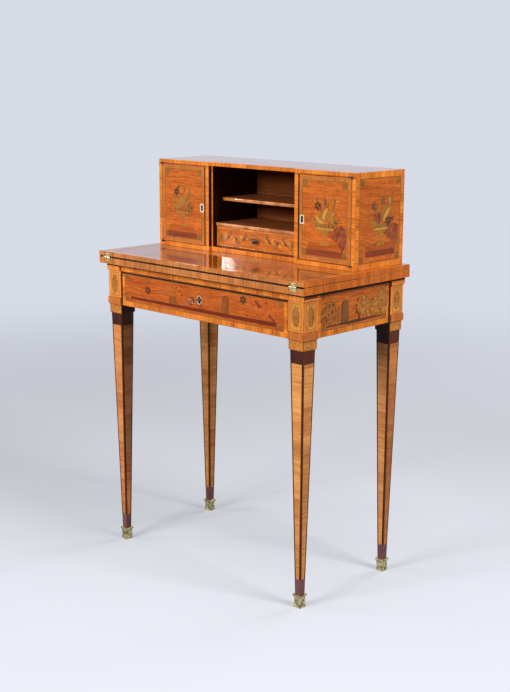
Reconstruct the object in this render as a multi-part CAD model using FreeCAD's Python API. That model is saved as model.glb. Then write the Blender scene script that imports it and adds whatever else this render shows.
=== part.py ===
import FreeCAD, Part
import os
from FreeCAD import Vector

# A small fold-top writing desk with an upper cabinet, all lengths in millimetres.
# X runs to the right along the front, Y runs from front to back, Z is up.

# Whole desk
writing_height = 770.0
top_width = 692.0
top_depth = 374.0
cut_overrun = 5.0
slip_clearance = 0.05

# Top boards
leaf_thickness = 13.5
lower_board_thickness = 16.5
leaf_joint_gap = 0.5
leaf_joint_inset = 4.7
leather_border = 42.0
leather_thickness = 1.2
leather_sink = 0.3

# Leaf hinges, let into the front edges
leaf_hinge_inset = 31.0
leaf_hinge_width = 24.0
leaf_plate_height = 10.0
leaf_plate_thickness = 1.6
leaf_knuckle_radius = 2.6
leaf_knuckle_width = 8.0
leaf_knuckle_play = 0.2
leaf_knuckle_clearance = 0.4
leaf_pin_radius = 1.2
leaf_axis_proud = 0.3
hinge_screw_spacing = 14.0
hinge_screw_rise = 6.6
hinge_screw_radius = 0.9
hinge_screw_head_radius = 1.8
hinge_screw_head_height = 1.0
hinge_screw_length = 9.0

# Legs
post_width = 47.0
leg_side_inset = 14.0
leg_front_inset = 17.5
leg_back_inset = 5.0
frieze_height = 105.0
cap_height = 17.5
cap_projection = 3.0
collar_height = 17.5
collar_projection = 0.8
neck_height = 24.0
neck_width = 44.8
neck_step_height = 2.5
shaft_top_width = 39.6
shaft_foot_width = 14.8

# Brass shoes on the feet
shoe_height = 32.0
shoe_floor = 4.0
shoe_base_width = 20.4
shoe_base_height = 3.0
shoe_body_width = 19.0
shoe_lip_width = 24.4
shoe_lip_height = 3.0
shoe_flare_height = 4.0

# Aprons and front rail
apron_thickness = 18.0
apron_setback = 3.0
tenon_thickness = 8.0
tenon_length = 22.0
tenon_shoulder = 14.0
front_rail_depth = 40.0
front_rail_setback = 1.0
rail_tenon_height = 9.0
rail_tenon_depth = 24.0

# Runners, guides and kickers that carry the frieze drawer
runner_height = 12.0
runner_reach = 20.0
runner_lift = 1.0
guide_height = 14.0
kicker_height = 20.0

# Wood screws
screw_length = 32.0
screw_radius = 2.0
screw_head_radius = 4.0
screw_head_height = 3.0
kicker_screw_sink = 2.0
kicker_screw_end_inset = 40.0
cabinet_screw_sink = 6.0
cabinet_screw_side_inset = 60.0
cabinet_screw_end_inset = 45.0

# Frieze drawer
drawer_face_setback = 2.0
drawer_side_gap = 0.8
drawer_top_gap = 1.0
drawer_lower_lip = 0.3
drawer_front_thickness = 22.0
drawer_side_thickness = 10.0
drawer_side_housing = 12.0
drawer_side_drop = 2.5
drawer_run_gap = 0.2
drawer_back_thickness = 10.0
drawer_back_drop = 4.0
drawer_bottom_thickness = 6.0
drawer_bottom_rise = 7.0
drawer_groove = 5.0
drawer_rear_gap = 22.0

# Drawer lock, key and escutcheon
keyhole_drop = 35.5
lock_width = 56.0
lock_height = 54.0
lock_depth = 13.0
lock_proud = 1.0
lock_wall = 1.5
bolt_width = 22.0
bolt_thickness = 6.0
bolt_clearance = 0.2
bolt_key_gap = 1.8
bolt_lift = 8.0
bolt_sink = 0.3
bolt_mortise_depth = 10.0
bolt_mortise_play = 1.0
key_radius = 2.5
key_reach = 40.5
key_bow_radius = 9.4
key_bow_wire = 1.6
key_collar_radius = 4.0
key_collar_width = 2.0
key_collar_gap = 0.6
key_bit_radius = 10.0
key_bit_thickness = 2.4
key_bit_width = 5.0
keyhole_radius = 3.2
keyhole_slot_width = 3.4
keyhole_slot_length = 11.0
plate_width = 16.0
plate_height = 22.4
plate_thickness = 1.5
plate_drop = 5.0

# Upper cabinet
cabinet_width = 658.0
cabinet_depth = 177.0
cabinet_height = 222.0
cabinet_back_inset = 7.5
cabinet_top_thickness = 10.0
cabinet_bottom_thickness = 11.0
cabinet_side_thickness = 11.0
cabinet_back_thickness = 8.0
partition_thickness = 11.5
centre_width = 289.0
centre_recess = 9.5
lining_thickness = 5.0
shelf_thickness = 8.8
shelf_rise = 133.0
shelf_setback = 44.0
deck_rise = 71.0
deck_setback = 21.0
shelf_housing = 2.5

# Cabinet doors, on pivots at the outer front corners
door_thickness = 14.0
door_pivot_gap = 0.7
door_free_gap = 1.6
door_end_gap = 0.8
pivot_proud = 2.6
pivot_offset = 0.3
pivot_radius = 1.2
pivot_eye_radius = 2.4
pivot_plate_length = 12.0
pivot_plate_depth = 11.0
pivot_plate_thickness = 1.6
pivot_neck = 3.6
door_keyhole_rise = 106.0
door_keyhole_inset = 11.4
door_keyhole_width = 3.0
door_keyhole_height = 9.0
bone_width = 11.0
bone_height = 17.0
bone_thickness = 2.0
bone_proud = 0.3
door_lock_width = 30.0
door_lock_height = 44.0
door_lock_depth = 9.0
door_bolt_length = 21.0
door_bolt_height = 14.0
door_bolt_thickness = 4.0
door_bolt_travel = 5.0
door_bolt_sink = 0.4
door_mortise_depth = 6.0

# Small drawer in the cabinet
small_front_setback = 23.0
small_front_thickness = 12.0
small_side_thickness = 7.0
small_side_housing = 7.0
small_side_drop = 2.0
small_bottom_thickness = 4.0
small_bottom_rise = 3.0
small_groove = 3.0
small_side_gap = 0.5
small_end_gap = 0.4
small_rear_gap = 6.0
knob_ball_radius = 8.0
knob_foot_radius = 5.5
knob_foot_height = 2.0
knob_neck_radius = 3.2
knob_neck_height = 3.5
knob_stem_radius = 2.5

# Heights of the main levels
seam_level = writing_height - leaf_thickness
frame_level = seam_level - lower_board_thickness
cap_level = frame_level - cap_height
frieze_level = frame_level - frieze_height
collar_level = frieze_level + collar_height
neck_level = frieze_level - neck_height
runner_level = frieze_level + runner_lift + runner_height
kicker_level = frame_level - kicker_height
cabinet_level = writing_height + cabinet_height
opening_floor = writing_height + cabinet_bottom_thickness
opening_ceiling = cabinet_level - cabinet_top_thickness

# Places from front to back; the key's bow is the foremost point of the desk
post_half = post_width / 2
drawer_face_inset = leg_front_inset + drawer_face_setback
key_overhang = max(key_reach - drawer_face_inset, 0)
board_front = (key_overhang - top_depth) / 2
board_back = (key_overhang + top_depth) / 2
leg_front_y = board_front + leg_front_inset + post_half
leg_back_y = board_back - leg_back_inset - post_half
bay_front = leg_front_y + post_half
bay_back = leg_back_y - post_half
drawer_face = board_front + drawer_face_inset
drawer_front_back = drawer_face + drawer_front_thickness
cabinet_back = board_back - cabinet_back_inset
cabinet_front = cabinet_back - cabinet_depth
cabinet_inner_back = cabinet_back - cabinet_back_thickness
leaf_joint = cabinet_front - leaf_joint_inset

# Places from the middle line outwards
top_half = top_width / 2
leg_x = top_half - leg_side_inset - post_half
post_inner = leg_x - post_half
apron_outer = leg_x + post_half - apron_setback
apron_inner = apron_outer - apron_thickness
drawer_half = post_inner - drawer_side_gap
cabinet_half = cabinet_width / 2
opening_outer = cabinet_half - cabinet_side_thickness
centre_half = centre_width / 2
opening_inner = centre_half + partition_thickness
nest_half = centre_half - lining_thickness
door_outer = opening_outer - door_pivot_gap
door_inner = opening_inner + door_free_gap
small_half = nest_half - small_side_gap

# Lock heights shared by the drawer front, the lock and the key
drawer_top_level = cap_level - drawer_top_gap
drawer_low_level = frieze_level + drawer_lower_lip
key_level = drawer_top_level - keyhole_drop
door_key_level = writing_height + door_keyhole_rise
door_key_x = door_inner + door_keyhole_inset

SIDES = {"left": -1, "right": 1}


def block(x_span, y_span, z_span):
    """A box between two values on each axis, given in any order."""
    low = Vector(min(x_span), min(y_span), min(z_span))
    high = Vector(max(x_span), max(y_span), max(z_span))
    size = high - low
    return Part.makeBox(size.x, size.y, size.z, low)


def about(middle, width):
    """The span of a width centred on a value."""
    return (middle - width / 2, middle + width / 2)


def square_wire(centre_x, centre_y, width, level):
    """A level square outline centred on a leg."""
    xs = about(centre_x, width)
    ys = about(centre_y, width)
    corners = [(xs[0], ys[0]), (xs[1], ys[0]), (xs[1], ys[1]), (xs[0], ys[1]), (xs[0], ys[0])]
    return Part.makePolygon([Vector(x, y, level) for x, y in corners])


def square_stack(centre_x, centre_y, levels):
    """A solid through level squares, each given as (height, width)."""
    wires = [square_wire(centre_x, centre_y, width, level) for level, width in levels]
    return Part.makeLoft(wires, True, True)


def rod_x(radius, x_span, y, z):
    """A round rod along X."""
    return Part.makeCylinder(radius, max(x_span) - min(x_span), Vector(min(x_span), y, z), Vector(1, 0, 0))


def rod_y(radius, y_span, x, z):
    """A round rod along Y."""
    return Part.makeCylinder(radius, max(y_span) - min(y_span), Vector(x, min(y_span), z), Vector(0, 1, 0))


def rod_z(radius, z_span, x, y):
    """A round rod along Z."""
    return Part.makeCylinder(radius, max(z_span) - min(z_span), Vector(x, y, min(z_span)))


def upright_slot(width, height, y_span, x, z):
    """A round-ended upright bar along Y, centred on x and z."""
    reach = (height - width) / 2
    middle = block(about(x, width), y_span, (z - reach, z + reach))
    ends = [rod_y(width / 2, y_span, x, z + sign * reach) for sign in (-1, 1)]
    return middle.fuse(ends).removeSplitter()


def keyhole(y_span, x, z):
    """A round hole with a slot hanging from it, for a key with one bit."""
    slot = block(about(x, keyhole_slot_width), y_span, (z - keyhole_slot_length, z))
    return rod_y(keyhole_radius, y_span, x, z).fuse(slot)


# Legs and shoes
def leg_places():
    """Each leg's name with its outward signs and its centre."""
    places = []
    for end, end_sign, y in (("front", -1, leg_front_y), ("back", 1, leg_back_y)):
        for side, side_sign in SIDES.items():
            places.append((end + "_" + side, side_sign, end_sign, side_sign * leg_x, y))
    return places


def leg_shaft(x, y):
    """The tapered shaft with its stepped neck, from the foot up to the frieze."""
    levels = [
        (shoe_floor, shaft_foot_width),
        (neck_level, shaft_top_width),
        (neck_level + neck_step_height, neck_width),
        (frieze_level, neck_width),
    ]
    return square_stack(x, y, levels)


def leg(side_sign, end_sign, x, y):
    """A leg with its post, outward cap and collar, before it is mortised."""
    def outward(projection, z_span):
        x_span = (x - side_sign * post_half, x + side_sign * (post_half + projection))
        y_span = (y - end_sign * post_half, y + end_sign * (post_half + projection))
        return block(x_span, y_span, z_span)

    post = outward(0, (frieze_level, frame_level))
    collar = outward(collar_projection, (frieze_level, collar_level))
    cap = outward(cap_projection, (cap_level, frame_level))
    return leg_shaft(x, y).fuse([post, collar, cap]).removeSplitter()


def shoe(x, y):
    """A square brass shoe with a flared lip, hollowed for the foot."""
    lip_bottom = shoe_height - shoe_lip_height
    levels = [
        (0, shoe_base_width),
        (shoe_base_height, shoe_body_width),
        (lip_bottom - shoe_flare_height, shoe_body_width),
        (lip_bottom, shoe_lip_width),
        (shoe_height, shoe_lip_width),
    ]
    return square_stack(x, y, levels).cut(leg_shaft(x, y))


# Frame around the frieze
def side_apron(side_sign):
    """A side apron with a tenon at each end."""
    x_span = (side_sign * apron_inner, side_sign * apron_outer)
    board = block(x_span, (bay_front, bay_back), (frieze_level, frame_level))
    middle = side_sign * (apron_inner + apron_outer) / 2
    tenon = block(
        about(middle, tenon_thickness),
        (bay_front - tenon_length, bay_back + tenon_length),
        (frieze_level + tenon_shoulder, frame_level - tenon_shoulder),
    )
    return board.fuse(tenon)


def back_apron():
    """The back apron with a tenon at each end."""
    outer = leg_back_y + post_half - apron_setback
    y_span = (outer - apron_thickness, outer)
    board = block((-post_inner, post_inner), y_span, (frieze_level, frame_level))
    reach = post_inner + tenon_length
    tenon = block(
        (-reach, reach),
        about(sum(y_span) / 2, tenon_thickness),
        (frieze_level + tenon_shoulder, frame_level - tenon_shoulder),
    )
    return board.fuse(tenon)


def front_rail_face():
    """Where the front rail's face stands."""
    return board_front + leg_front_inset + front_rail_setback


def plain_front_rail():
    """The rail over the drawer, with a tenon at each end."""
    face = front_rail_face()
    board = block((-post_inner, post_inner), (face, face + front_rail_depth), (cap_level, frame_level))
    reach = post_inner + tenon_length
    tenon = block(
        (-reach, reach),
        about(face + front_rail_depth / 2, rail_tenon_depth),
        about((cap_level + frame_level) / 2, rail_tenon_height),
    )
    return board.fuse(tenon)


def front_rail():
    """The front rail with the mortise that the lock bolt rises into."""
    mortise = block(
        about(0, bolt_width + 2 * bolt_mortise_play),
        about(lock_bolt_y(), bolt_thickness + 2 * bolt_mortise_play),
        (cap_level - cut_overrun, cap_level + bolt_mortise_depth),
    )
    return plain_front_rail().cut(mortise)


def side_strip(side_sign, inner, z_span):
    """A strip along the inside of a side apron, between the front and back posts."""
    return block((side_sign * inner, side_sign * apron_inner), (bay_front, bay_back), z_span)


def strip_pair(inner, z_span):
    """The same strip on both sides."""
    return [side_strip(sign, inner, z_span) for sign in SIDES.values()]


def runners():
    """Strips under the drawer's sides."""
    z_span = (runner_level - runner_height, runner_level)
    return strip_pair(post_inner - runner_reach, z_span)


def guides():
    """Strips beside the drawer's sides, standing on the runners."""
    return strip_pair(post_inner, (runner_level, runner_level + guide_height))


def kickers():
    """Strips over the drawer's sides, screwed up into the lower board."""
    strips = strip_pair(post_inner - runner_reach, (kicker_level, frame_level))
    holes = [screw_hole(x, y, z) for x, y, z in kicker_screw_places()]
    return [strip.cut(holes) for strip in strips]


# Wood screws, all driven upwards
def kicker_screw_places():
    """Screw places under the kickers, at the heads' lower faces."""
    x = (post_inner - runner_reach + apron_inner) / 2
    ys = (bay_front + kicker_screw_end_inset, bay_back - kicker_screw_end_inset)
    level = kicker_level + kicker_screw_sink
    return [(sign * x, y, level) for sign in SIDES.values() for y in ys]


def cabinet_screw_places():
    """Screw places under the lower board that hold the cabinet."""
    x = cabinet_half - cabinet_screw_side_inset
    ys = (cabinet_front + cabinet_screw_end_inset, cabinet_back - cabinet_screw_end_inset)
    level = frame_level + cabinet_screw_sink
    return [(sign * x, y, level) for sign in SIDES.values() for y in ys]


def screw(x, y, head_level, clearance=0):
    """A flat-headed screw standing on its head."""
    head_top = head_level + screw_head_height
    head = rod_z(screw_head_radius + clearance, (head_level, head_top), x, y)
    shank = rod_z(screw_radius + clearance, (head_top, head_level + screw_length), x, y)
    return head.fuse(shank)


def screw_hole(x, y, head_level):
    """The screw's hole with the way in for its head."""
    access = rod_z(screw_head_radius + slip_clearance, (head_level - screw_length, head_level), x, y)
    return screw(x, y, head_level, slip_clearance).fuse(access)


def wood_screws():
    """All the wood screws."""
    return [screw(x, y, z) for x, y, z in kicker_screw_places() + cabinet_screw_places()]


# Top boards
def leather_spans():
    """The writing lining's extent, shared by the board and the leaf."""
    x_span = (leather_border - top_half, top_half - leather_border)
    y_span = (board_front + leather_border, leaf_joint - leather_border)
    return x_span, y_span


def leather(direction):
    """A lining sheet, below the seam with direction -1 or above it with 1."""
    x_span, y_span = leather_spans()
    outer = seam_level + direction * leather_sink
    return block(x_span, y_span, (outer, outer + direction * leather_thickness))


def leather_recess(direction):
    """The sinking that the lining lies in."""
    x_span, y_span = leather_spans()
    return block(x_span, y_span, (seam_level, seam_level + direction * (leather_sink + leather_thickness)))


def lower_board():
    """The fixed board under the leaf, let in for the lining, hinges and screws."""
    board = block((-top_half, top_half), (board_front, board_back), (frame_level, seam_level))
    places = kicker_screw_places() + cabinet_screw_places()
    holes = [screw_hole(x, y, z) for x, y, z in places]
    return board.cut([leather_recess(-1)] + hinge_recesses(-1) + holes)


def writing_leaf():
    """The folding leaf, let in for its lining and hinges."""
    rear = leaf_joint - leaf_joint_gap
    board = block((-top_half, top_half), (board_front, rear), (seam_level, writing_height))
    return board.cut([leather_recess(1)] + hinge_recesses(1))


def rear_board():
    """The fixed board behind the leaf, under the cabinet."""
    board = block((-top_half, top_half), (leaf_joint, board_back), (seam_level, writing_height))
    return board.cut([screw_hole(x, y, z) for x, y, z in cabinet_screw_places()])


# Leaf hinges
leaf_axis_y = board_front - leaf_axis_proud


def hinge_middles():
    """The middle of each leaf hinge along the front."""
    reach = top_half - leaf_hinge_inset
    return [sign * reach for sign in SIDES.values()]


def hinge_plate_block(middle, direction, extra=0):
    """A hinge plate's flat, below the seam with direction -1 or above it with 1."""
    return block(
        about(middle, leaf_hinge_width),
        (board_front - extra, board_front + leaf_plate_thickness),
        (seam_level, seam_level + direction * leaf_plate_height),
    )


def hinge_round(middle, x_from, x_to, radius):
    """A round piece on the hinge axis, given by distances from the hinge's middle."""
    return rod_x(radius, (middle + x_from, middle + x_to), leaf_axis_y, seam_level)


def hinge_screw_places(direction):
    """Screw places on the plates, in X and Z."""
    z = seam_level + direction * hinge_screw_rise
    return [(x, z) for middle in hinge_middles() for x in about(middle, hinge_screw_spacing)]


def hinge_screw(x, z, clearance=0):
    """A small countersunk screw driven back into an edge."""
    head = Part.makeCone(
        hinge_screw_head_radius + clearance,
        hinge_screw_radius + clearance,
        hinge_screw_head_height,
        Vector(x, board_front, z),
        Vector(0, 1, 0),
    )
    neck = board_front + hinge_screw_head_height
    shank = rod_y(hinge_screw_radius + clearance, (neck, board_front + hinge_screw_length), x, z)
    return head.fuse(shank)


def hinge_screws(direction):
    """The screws of the lower or the upper plates."""
    return [hinge_screw(x, z) for x, z in hinge_screw_places(direction)]


def hinge_screw_holes(direction):
    """The holes of those screws."""
    return [hinge_screw(x, z, slip_clearance) for x, z in hinge_screw_places(direction)]


def hinge_recesses(direction):
    """What a board loses to its plates, knuckles and screws."""
    reach = leaf_hinge_width / 2 + leaf_knuckle_play
    radius = leaf_knuckle_radius + leaf_knuckle_clearance
    cuts = hinge_screw_holes(direction)
    for middle in hinge_middles():
        cuts.append(hinge_plate_block(middle, direction, cut_overrun))
        cuts.append(hinge_round(middle, -reach, reach, radius))
    return cuts


def hinge_plates(direction):
    """Lower plates carry the outer knuckles, upper plates the middle one."""
    half = leaf_hinge_width / 2
    inner = leaf_knuckle_width / 2
    outer = inner + leaf_knuckle_play
    free_radius = leaf_knuckle_radius + leaf_knuckle_clearance
    bore = leaf_pin_radius + (slip_clearance if direction > 0 else 0)
    plates = []
    for middle in hinge_middles():
        middle_knuckle = (-inner, inner)
        end_knuckles = ((-half, -outer), (outer, half))
        if direction > 0:
            kept, cleared = (middle_knuckle,), ((-half, -inner), (inner, half))
        else:
            kept, cleared = end_knuckles, ((-outer, outer),)
        plate = hinge_plate_block(middle, direction)
        plate = plate.cut([hinge_round(middle, a, b, free_radius) for a, b in cleared])
        plate = plate.fuse([hinge_round(middle, a, b, leaf_knuckle_radius) for a, b in kept])
        plate = plate.cut([hinge_round(middle, -half, half, bore)] + hinge_screw_holes(direction))
        plates.append(plate.removeSplitter())
    return plates


def hinge_pins():
    """The pins, fast in the lower plates."""
    half = leaf_hinge_width / 2
    return [hinge_round(middle, -half, half, leaf_pin_radius) for middle in hinge_middles()]


# Lock and key of the frieze drawer
def lock_back():
    """The lock's inner face, a little proud of the drawer front's back."""
    return drawer_front_back + lock_proud


def lock_bolt_y():
    """The middle of the lock's hollow, where the bolt runs."""
    return lock_back() - lock_depth / 2


def lock_block():
    """The lock's outside."""
    y_span = (lock_back() - lock_depth, lock_back())
    return block(about(0, lock_width), y_span, (drawer_top_level - lock_height, drawer_top_level))


def lock_case():
    """The lock's hollow case, open at the top for the bolt and in front for the key."""
    front = lock_back() - lock_depth
    hollow = block(
        about(0, lock_width - 2 * lock_wall),
        (front + lock_wall, lock_back() - lock_wall),
        (drawer_top_level - lock_height + lock_wall, drawer_top_level - lock_wall),
    )
    bolt_way = block(
        about(0, bolt_width + 2 * bolt_clearance),
        about(lock_bolt_y(), bolt_thickness + 2 * bolt_clearance),
        (drawer_top_level - lock_height / 2, drawer_top_level + cut_overrun),
    )
    key_way = keyhole((front - cut_overrun, front + lock_wall), 0, key_level)
    return lock_block().cut([hollow, bolt_way, key_way])


def lock_bolt():
    """The bolt, drawn back below the drawer front's top edge."""
    raised_foot = key_level + key_bit_radius + bolt_key_gap
    z_span = (raised_foot - bolt_lift, drawer_top_level - bolt_sink)
    return block(about(0, bolt_width), about(lock_bolt_y(), bolt_thickness), z_span)


def key():
    """The key with its ring bow upright and its bit hanging down in the lock."""
    ring_reach = key_bow_radius + key_bow_wire
    bow_y = drawer_face - key_reach + ring_reach
    tip = lock_back() - lock_wall - bolt_clearance
    shank = rod_y(key_radius, (bow_y + key_bow_radius, tip), 0, key_level)
    bow = Part.makeTorus(key_bow_radius, key_bow_wire, Vector(0, bow_y, key_level), Vector(1, 0, 0))
    collar_front = drawer_face - plate_thickness - key_collar_gap - key_collar_width
    collar = rod_y(key_collar_radius, (collar_front, collar_front + key_collar_width), 0, key_level)
    bit = block(
        about(0, key_bit_thickness),
        about(lock_bolt_y(), key_bit_width),
        (key_level - key_bit_radius, key_level),
    )
    return shank.fuse([bow, collar, bit])


def drawer_escutcheon():
    """An oval brass plate round the keyhole."""
    y_span = (drawer_face - plate_thickness, drawer_face)
    oval = Part.Ellipse(Vector(0, 0, 0), plate_height / 2, plate_width / 2)
    disc = Part.Face(Part.Wire(oval.toShape())).extrude(Vector(0, 0, plate_thickness))
    disc.rotate(Vector(0, 0, 0), Vector(0, 0, 1), 90)
    disc.rotate(Vector(0, 0, 0), Vector(1, 0, 0), 90)
    disc.translate(Vector(0, drawer_face, key_level - plate_drop))
    return disc.cut(keyhole((y_span[0] - cut_overrun, y_span[1] + cut_overrun), 0, key_level))


# Frieze drawer
drawer_side_top = drawer_top_level - drawer_side_drop
drawer_side_low = runner_level + drawer_run_gap
drawer_rear = bay_back - drawer_rear_gap
drawer_floor = drawer_side_low + drawer_bottom_rise
drawer_inner = drawer_half - drawer_side_thickness


def drawer_side(side_sign):
    """A drawer side, housed into the front."""
    x_span = (side_sign * drawer_inner, side_sign * drawer_half)
    y_span = (drawer_front_back - drawer_side_housing, drawer_rear)
    return block(x_span, y_span, (drawer_side_low, drawer_side_top))


def drawer_bottom():
    """The drawer's bottom, in grooves of the sides and the front."""
    reach = drawer_inner + drawer_groove
    y_span = (drawer_front_back - drawer_groove, drawer_rear)
    return block((-reach, reach), y_span, (drawer_floor, drawer_floor + drawer_bottom_thickness))


def drawer_back():
    """The drawer's back, between the sides and on the bottom."""
    y_span = (drawer_rear - drawer_back_thickness, drawer_rear)
    z_span = (drawer_floor + drawer_bottom_thickness, drawer_side_top - drawer_back_drop)
    return block((-drawer_inner, drawer_inner), y_span, z_span)


def drawer_front():
    """The full-height front, cut for its sides, bottom, lock and keyhole."""
    y_span = (drawer_face, drawer_front_back)
    board = block((-drawer_half, drawer_half), y_span, (drawer_low_level, drawer_top_level))
    sides = [drawer_side(sign) for sign in SIDES.values()]
    hole = keyhole((drawer_face - cut_overrun, drawer_front_back), 0, key_level)
    return board.cut(sides + [drawer_bottom(), lock_block(), hole])


def grooved_drawer_side(side_sign):
    """A drawer side with the groove for the bottom."""
    return drawer_side(side_sign).cut(drawer_bottom())


# Upper cabinet
def recessed_board(z_span):
    """A full cabinet board whose front edge steps back between the doors."""
    board = block((-cabinet_half, cabinet_half), (cabinet_front, cabinet_back), z_span)
    step = block(
        (-centre_half, centre_half),
        (cabinet_front - cut_overrun, cabinet_front + centre_recess),
        (min(z_span) - cut_overrun, max(z_span) + cut_overrun),
    )
    return board.cut(step)


def cabinet_top():
    """The cabinet's top, let in for the upper pivot plates."""
    return recessed_board((opening_ceiling, cabinet_level)).cut(cabinet_pivots((1,)))


def cabinet_bottom():
    """The cabinet's bottom, let in for the lower pivot plates and the screws."""
    board = recessed_board((writing_height, opening_floor))
    holes = [screw_hole(x, y, z) for x, y, z in cabinet_screw_places()]
    return board.cut(cabinet_pivots((-1,)) + holes)


def cabinet_side(side_sign):
    """An outer side, between the top and the bottom."""
    x_span = (side_sign * opening_outer, side_sign * cabinet_half)
    return block(x_span, (cabinet_front, cabinet_back), (opening_floor, opening_ceiling))


def cabinet_rear():
    """The back panel, between the sides."""
    x_span = (-opening_outer, opening_outer)
    return block(x_span, (cabinet_inner_back, cabinet_back), (opening_floor, opening_ceiling))


def partition(side_sign):
    """A wall between a cupboard and the middle, mortised for the door's bolt."""
    x_span = (side_sign * centre_half, side_sign * opening_inner)
    wall = block(x_span, (cabinet_front, cabinet_inner_back), (opening_floor, opening_ceiling))
    mouth = side_sign * (opening_inner + cut_overrun)
    depth = side_sign * (opening_inner - door_mortise_depth)
    mortise = block(
        (depth, mouth),
        about(door_bolt_y(), door_bolt_thickness + 2 * bolt_mortise_play),
        about(door_key_level, door_bolt_height + 2 * bolt_mortise_play),
    )
    return wall.cut(mortise)


def lining(side_sign):
    """A thin upright that lines the middle and carries the shelves."""
    x_span = (side_sign * nest_half, side_sign * centre_half)
    y_span = (cabinet_front + centre_recess, cabinet_inner_back)
    wall = block(x_span, y_span, (opening_floor, opening_ceiling))
    return wall.cut([upper_shelf(), drawer_deck()])


def housed_shelf(setback, top_level):
    """A shelf housed into both linings."""
    reach = nest_half + shelf_housing
    y_span = (cabinet_front + setback, cabinet_inner_back)
    return block((-reach, reach), y_span, (top_level - shelf_thickness, top_level))


def upper_shelf():
    """The open shelf."""
    return housed_shelf(shelf_setback, writing_height + shelf_rise)


def drawer_deck():
    """The shelf over the small drawer."""
    return housed_shelf(deck_setback, writing_height + deck_rise)


# Cabinet doors
door_low = opening_floor + door_end_gap
door_high = opening_ceiling - door_end_gap
pivot_x = door_outer + pivot_offset
pivot_y = cabinet_front - pivot_proud


def door_bolt_y():
    """The middle of the door lock's thickness."""
    return cabinet_front + door_thickness - door_lock_depth / 2


def pivot_plate(side_sign, z_span, plate_outer):
    """A flat pivot plate with an eye that stands out in front of the cabinet."""
    x_span = (side_sign * (pivot_x - pivot_plate_length), side_sign * plate_outer)
    flat = block(x_span, (cabinet_front, cabinet_front + pivot_plate_depth), z_span)
    neck_span = (side_sign * (pivot_x - pivot_neck), side_sign * plate_outer)
    neck = block(neck_span, (pivot_y, cabinet_front), z_span)
    eye = rod_z(pivot_eye_radius, z_span, side_sign * pivot_x, pivot_y)
    return flat.fuse([neck, eye]).removeSplitter()


def end_levels(end):
    """The inner faces at the doors' top with end 1, or bottom with end -1."""
    if end > 0:
        return opening_ceiling, door_high
    return opening_floor, door_low


def cabinet_pivots(ends):
    """Plates with pins, let into the cabinet's top and bottom."""
    plates = []
    for end in ends:
        board_face, door_face = end_levels(end)
        outer = board_face + end * pivot_plate_thickness
        pin_end = door_face - end * pivot_plate_thickness
        for sign in SIDES.values():
            plate = pivot_plate(sign, (board_face, outer), pivot_x)
            pin = rod_z(pivot_radius, (pin_end, outer), sign * pivot_x, pivot_y)
            plates.append(plate.fuse(pin))
    return plates


def door_pivots(side_sign):
    """Plates let into a door's top and bottom edges, bored for the pins."""
    plates = []
    for end in (-1, 1):
        door_face = end_levels(end)[1]
        z_span = (door_face - end * pivot_plate_thickness, door_face)
        plate = pivot_plate(side_sign, z_span, door_outer)
        bore = rod_z(pivot_radius + slip_clearance, (door_low, door_high), side_sign * pivot_x, pivot_y)
        plates.append(plate.cut(bore))
    return plates


def bone_escutcheon(side_sign):
    """A round-ended bone plate, let into the door round its keyhole."""
    y_span = (cabinet_front - bone_proud, cabinet_front + bone_thickness - bone_proud)
    plate = upright_slot(bone_width, bone_height, y_span, side_sign * door_key_x, door_key_level)
    return plate.cut(door_keyhole(side_sign))


def door_keyhole(side_sign):
    """The slot for a key, from the front to the lock."""
    y_span = (cabinet_front - cut_overrun, cabinet_front + door_thickness - door_lock_depth)
    return upright_slot(door_keyhole_width, door_keyhole_height, y_span, side_sign * door_key_x, door_key_level)


def door_lock_block(side_sign):
    """The outside of a door's lock, at the free edge."""
    x_span = (side_sign * door_inner, side_sign * (door_inner + door_lock_width))
    y_span = (cabinet_front + door_thickness - door_lock_depth, cabinet_front + door_thickness)
    return block(x_span, y_span, about(door_key_level, door_lock_height))


def door_bolt(side_sign, clearance=0):
    """A door's bolt, drawn back into its lock."""
    near = door_inner + door_bolt_sink
    x_span = (side_sign * near, side_sign * (near + door_bolt_length + clearance))
    y_span = about(door_bolt_y(), door_bolt_thickness + 2 * clearance)
    return block(x_span, y_span, about(door_key_level, door_bolt_height + 2 * clearance))


def door_lock(side_sign):
    """A door's lock with the way for its bolt."""
    mouth = block(
        (side_sign * (door_inner - cut_overrun), side_sign * (door_inner + door_bolt_sink)),
        about(door_bolt_y(), door_bolt_thickness + 2 * bolt_clearance),
        about(door_key_level, door_bolt_height + 2 * bolt_clearance),
    )
    return door_lock_block(side_sign).cut([door_bolt(side_sign, bolt_clearance), mouth])


def door(side_sign):
    """An inset door, cut for its pivot plates, lock, keyhole and bone plate."""
    x_span = (side_sign * door_inner, side_sign * door_outer)
    y_span = (cabinet_front, cabinet_front + door_thickness)
    panel = block(x_span, y_span, (door_low, door_high))
    cuts = door_pivots(side_sign) + [
        door_lock_block(side_sign),
        door_keyhole(side_sign),
        bone_escutcheon(side_sign),
    ]
    return panel.cut(cuts)


# Small drawer
small_face = cabinet_front + small_front_setback
small_front_back = small_face + small_front_thickness
small_rear = cabinet_inner_back - small_rear_gap
small_low = opening_floor + small_end_gap
small_high = writing_height + deck_rise - shelf_thickness - small_end_gap
small_inner = small_half - small_side_thickness
small_floor = small_low + small_bottom_rise
small_side_top = small_high - small_side_drop
small_middle_level = (small_low + small_high) / 2


def small_side(side_sign):
    """A side of the small drawer, housed into its front."""
    x_span = (side_sign * small_inner, side_sign * small_half)
    y_span = (small_front_back - small_side_housing, small_rear)
    return block(x_span, y_span, (small_low, small_side_top))


def small_bottom():
    """The small drawer's bottom, in grooves of the sides and the front."""
    reach = small_inner + small_groove
    y_span = (small_front_back - small_groove, small_rear)
    return block((-reach, reach), y_span, (small_floor, small_floor + small_bottom_thickness))


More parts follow.
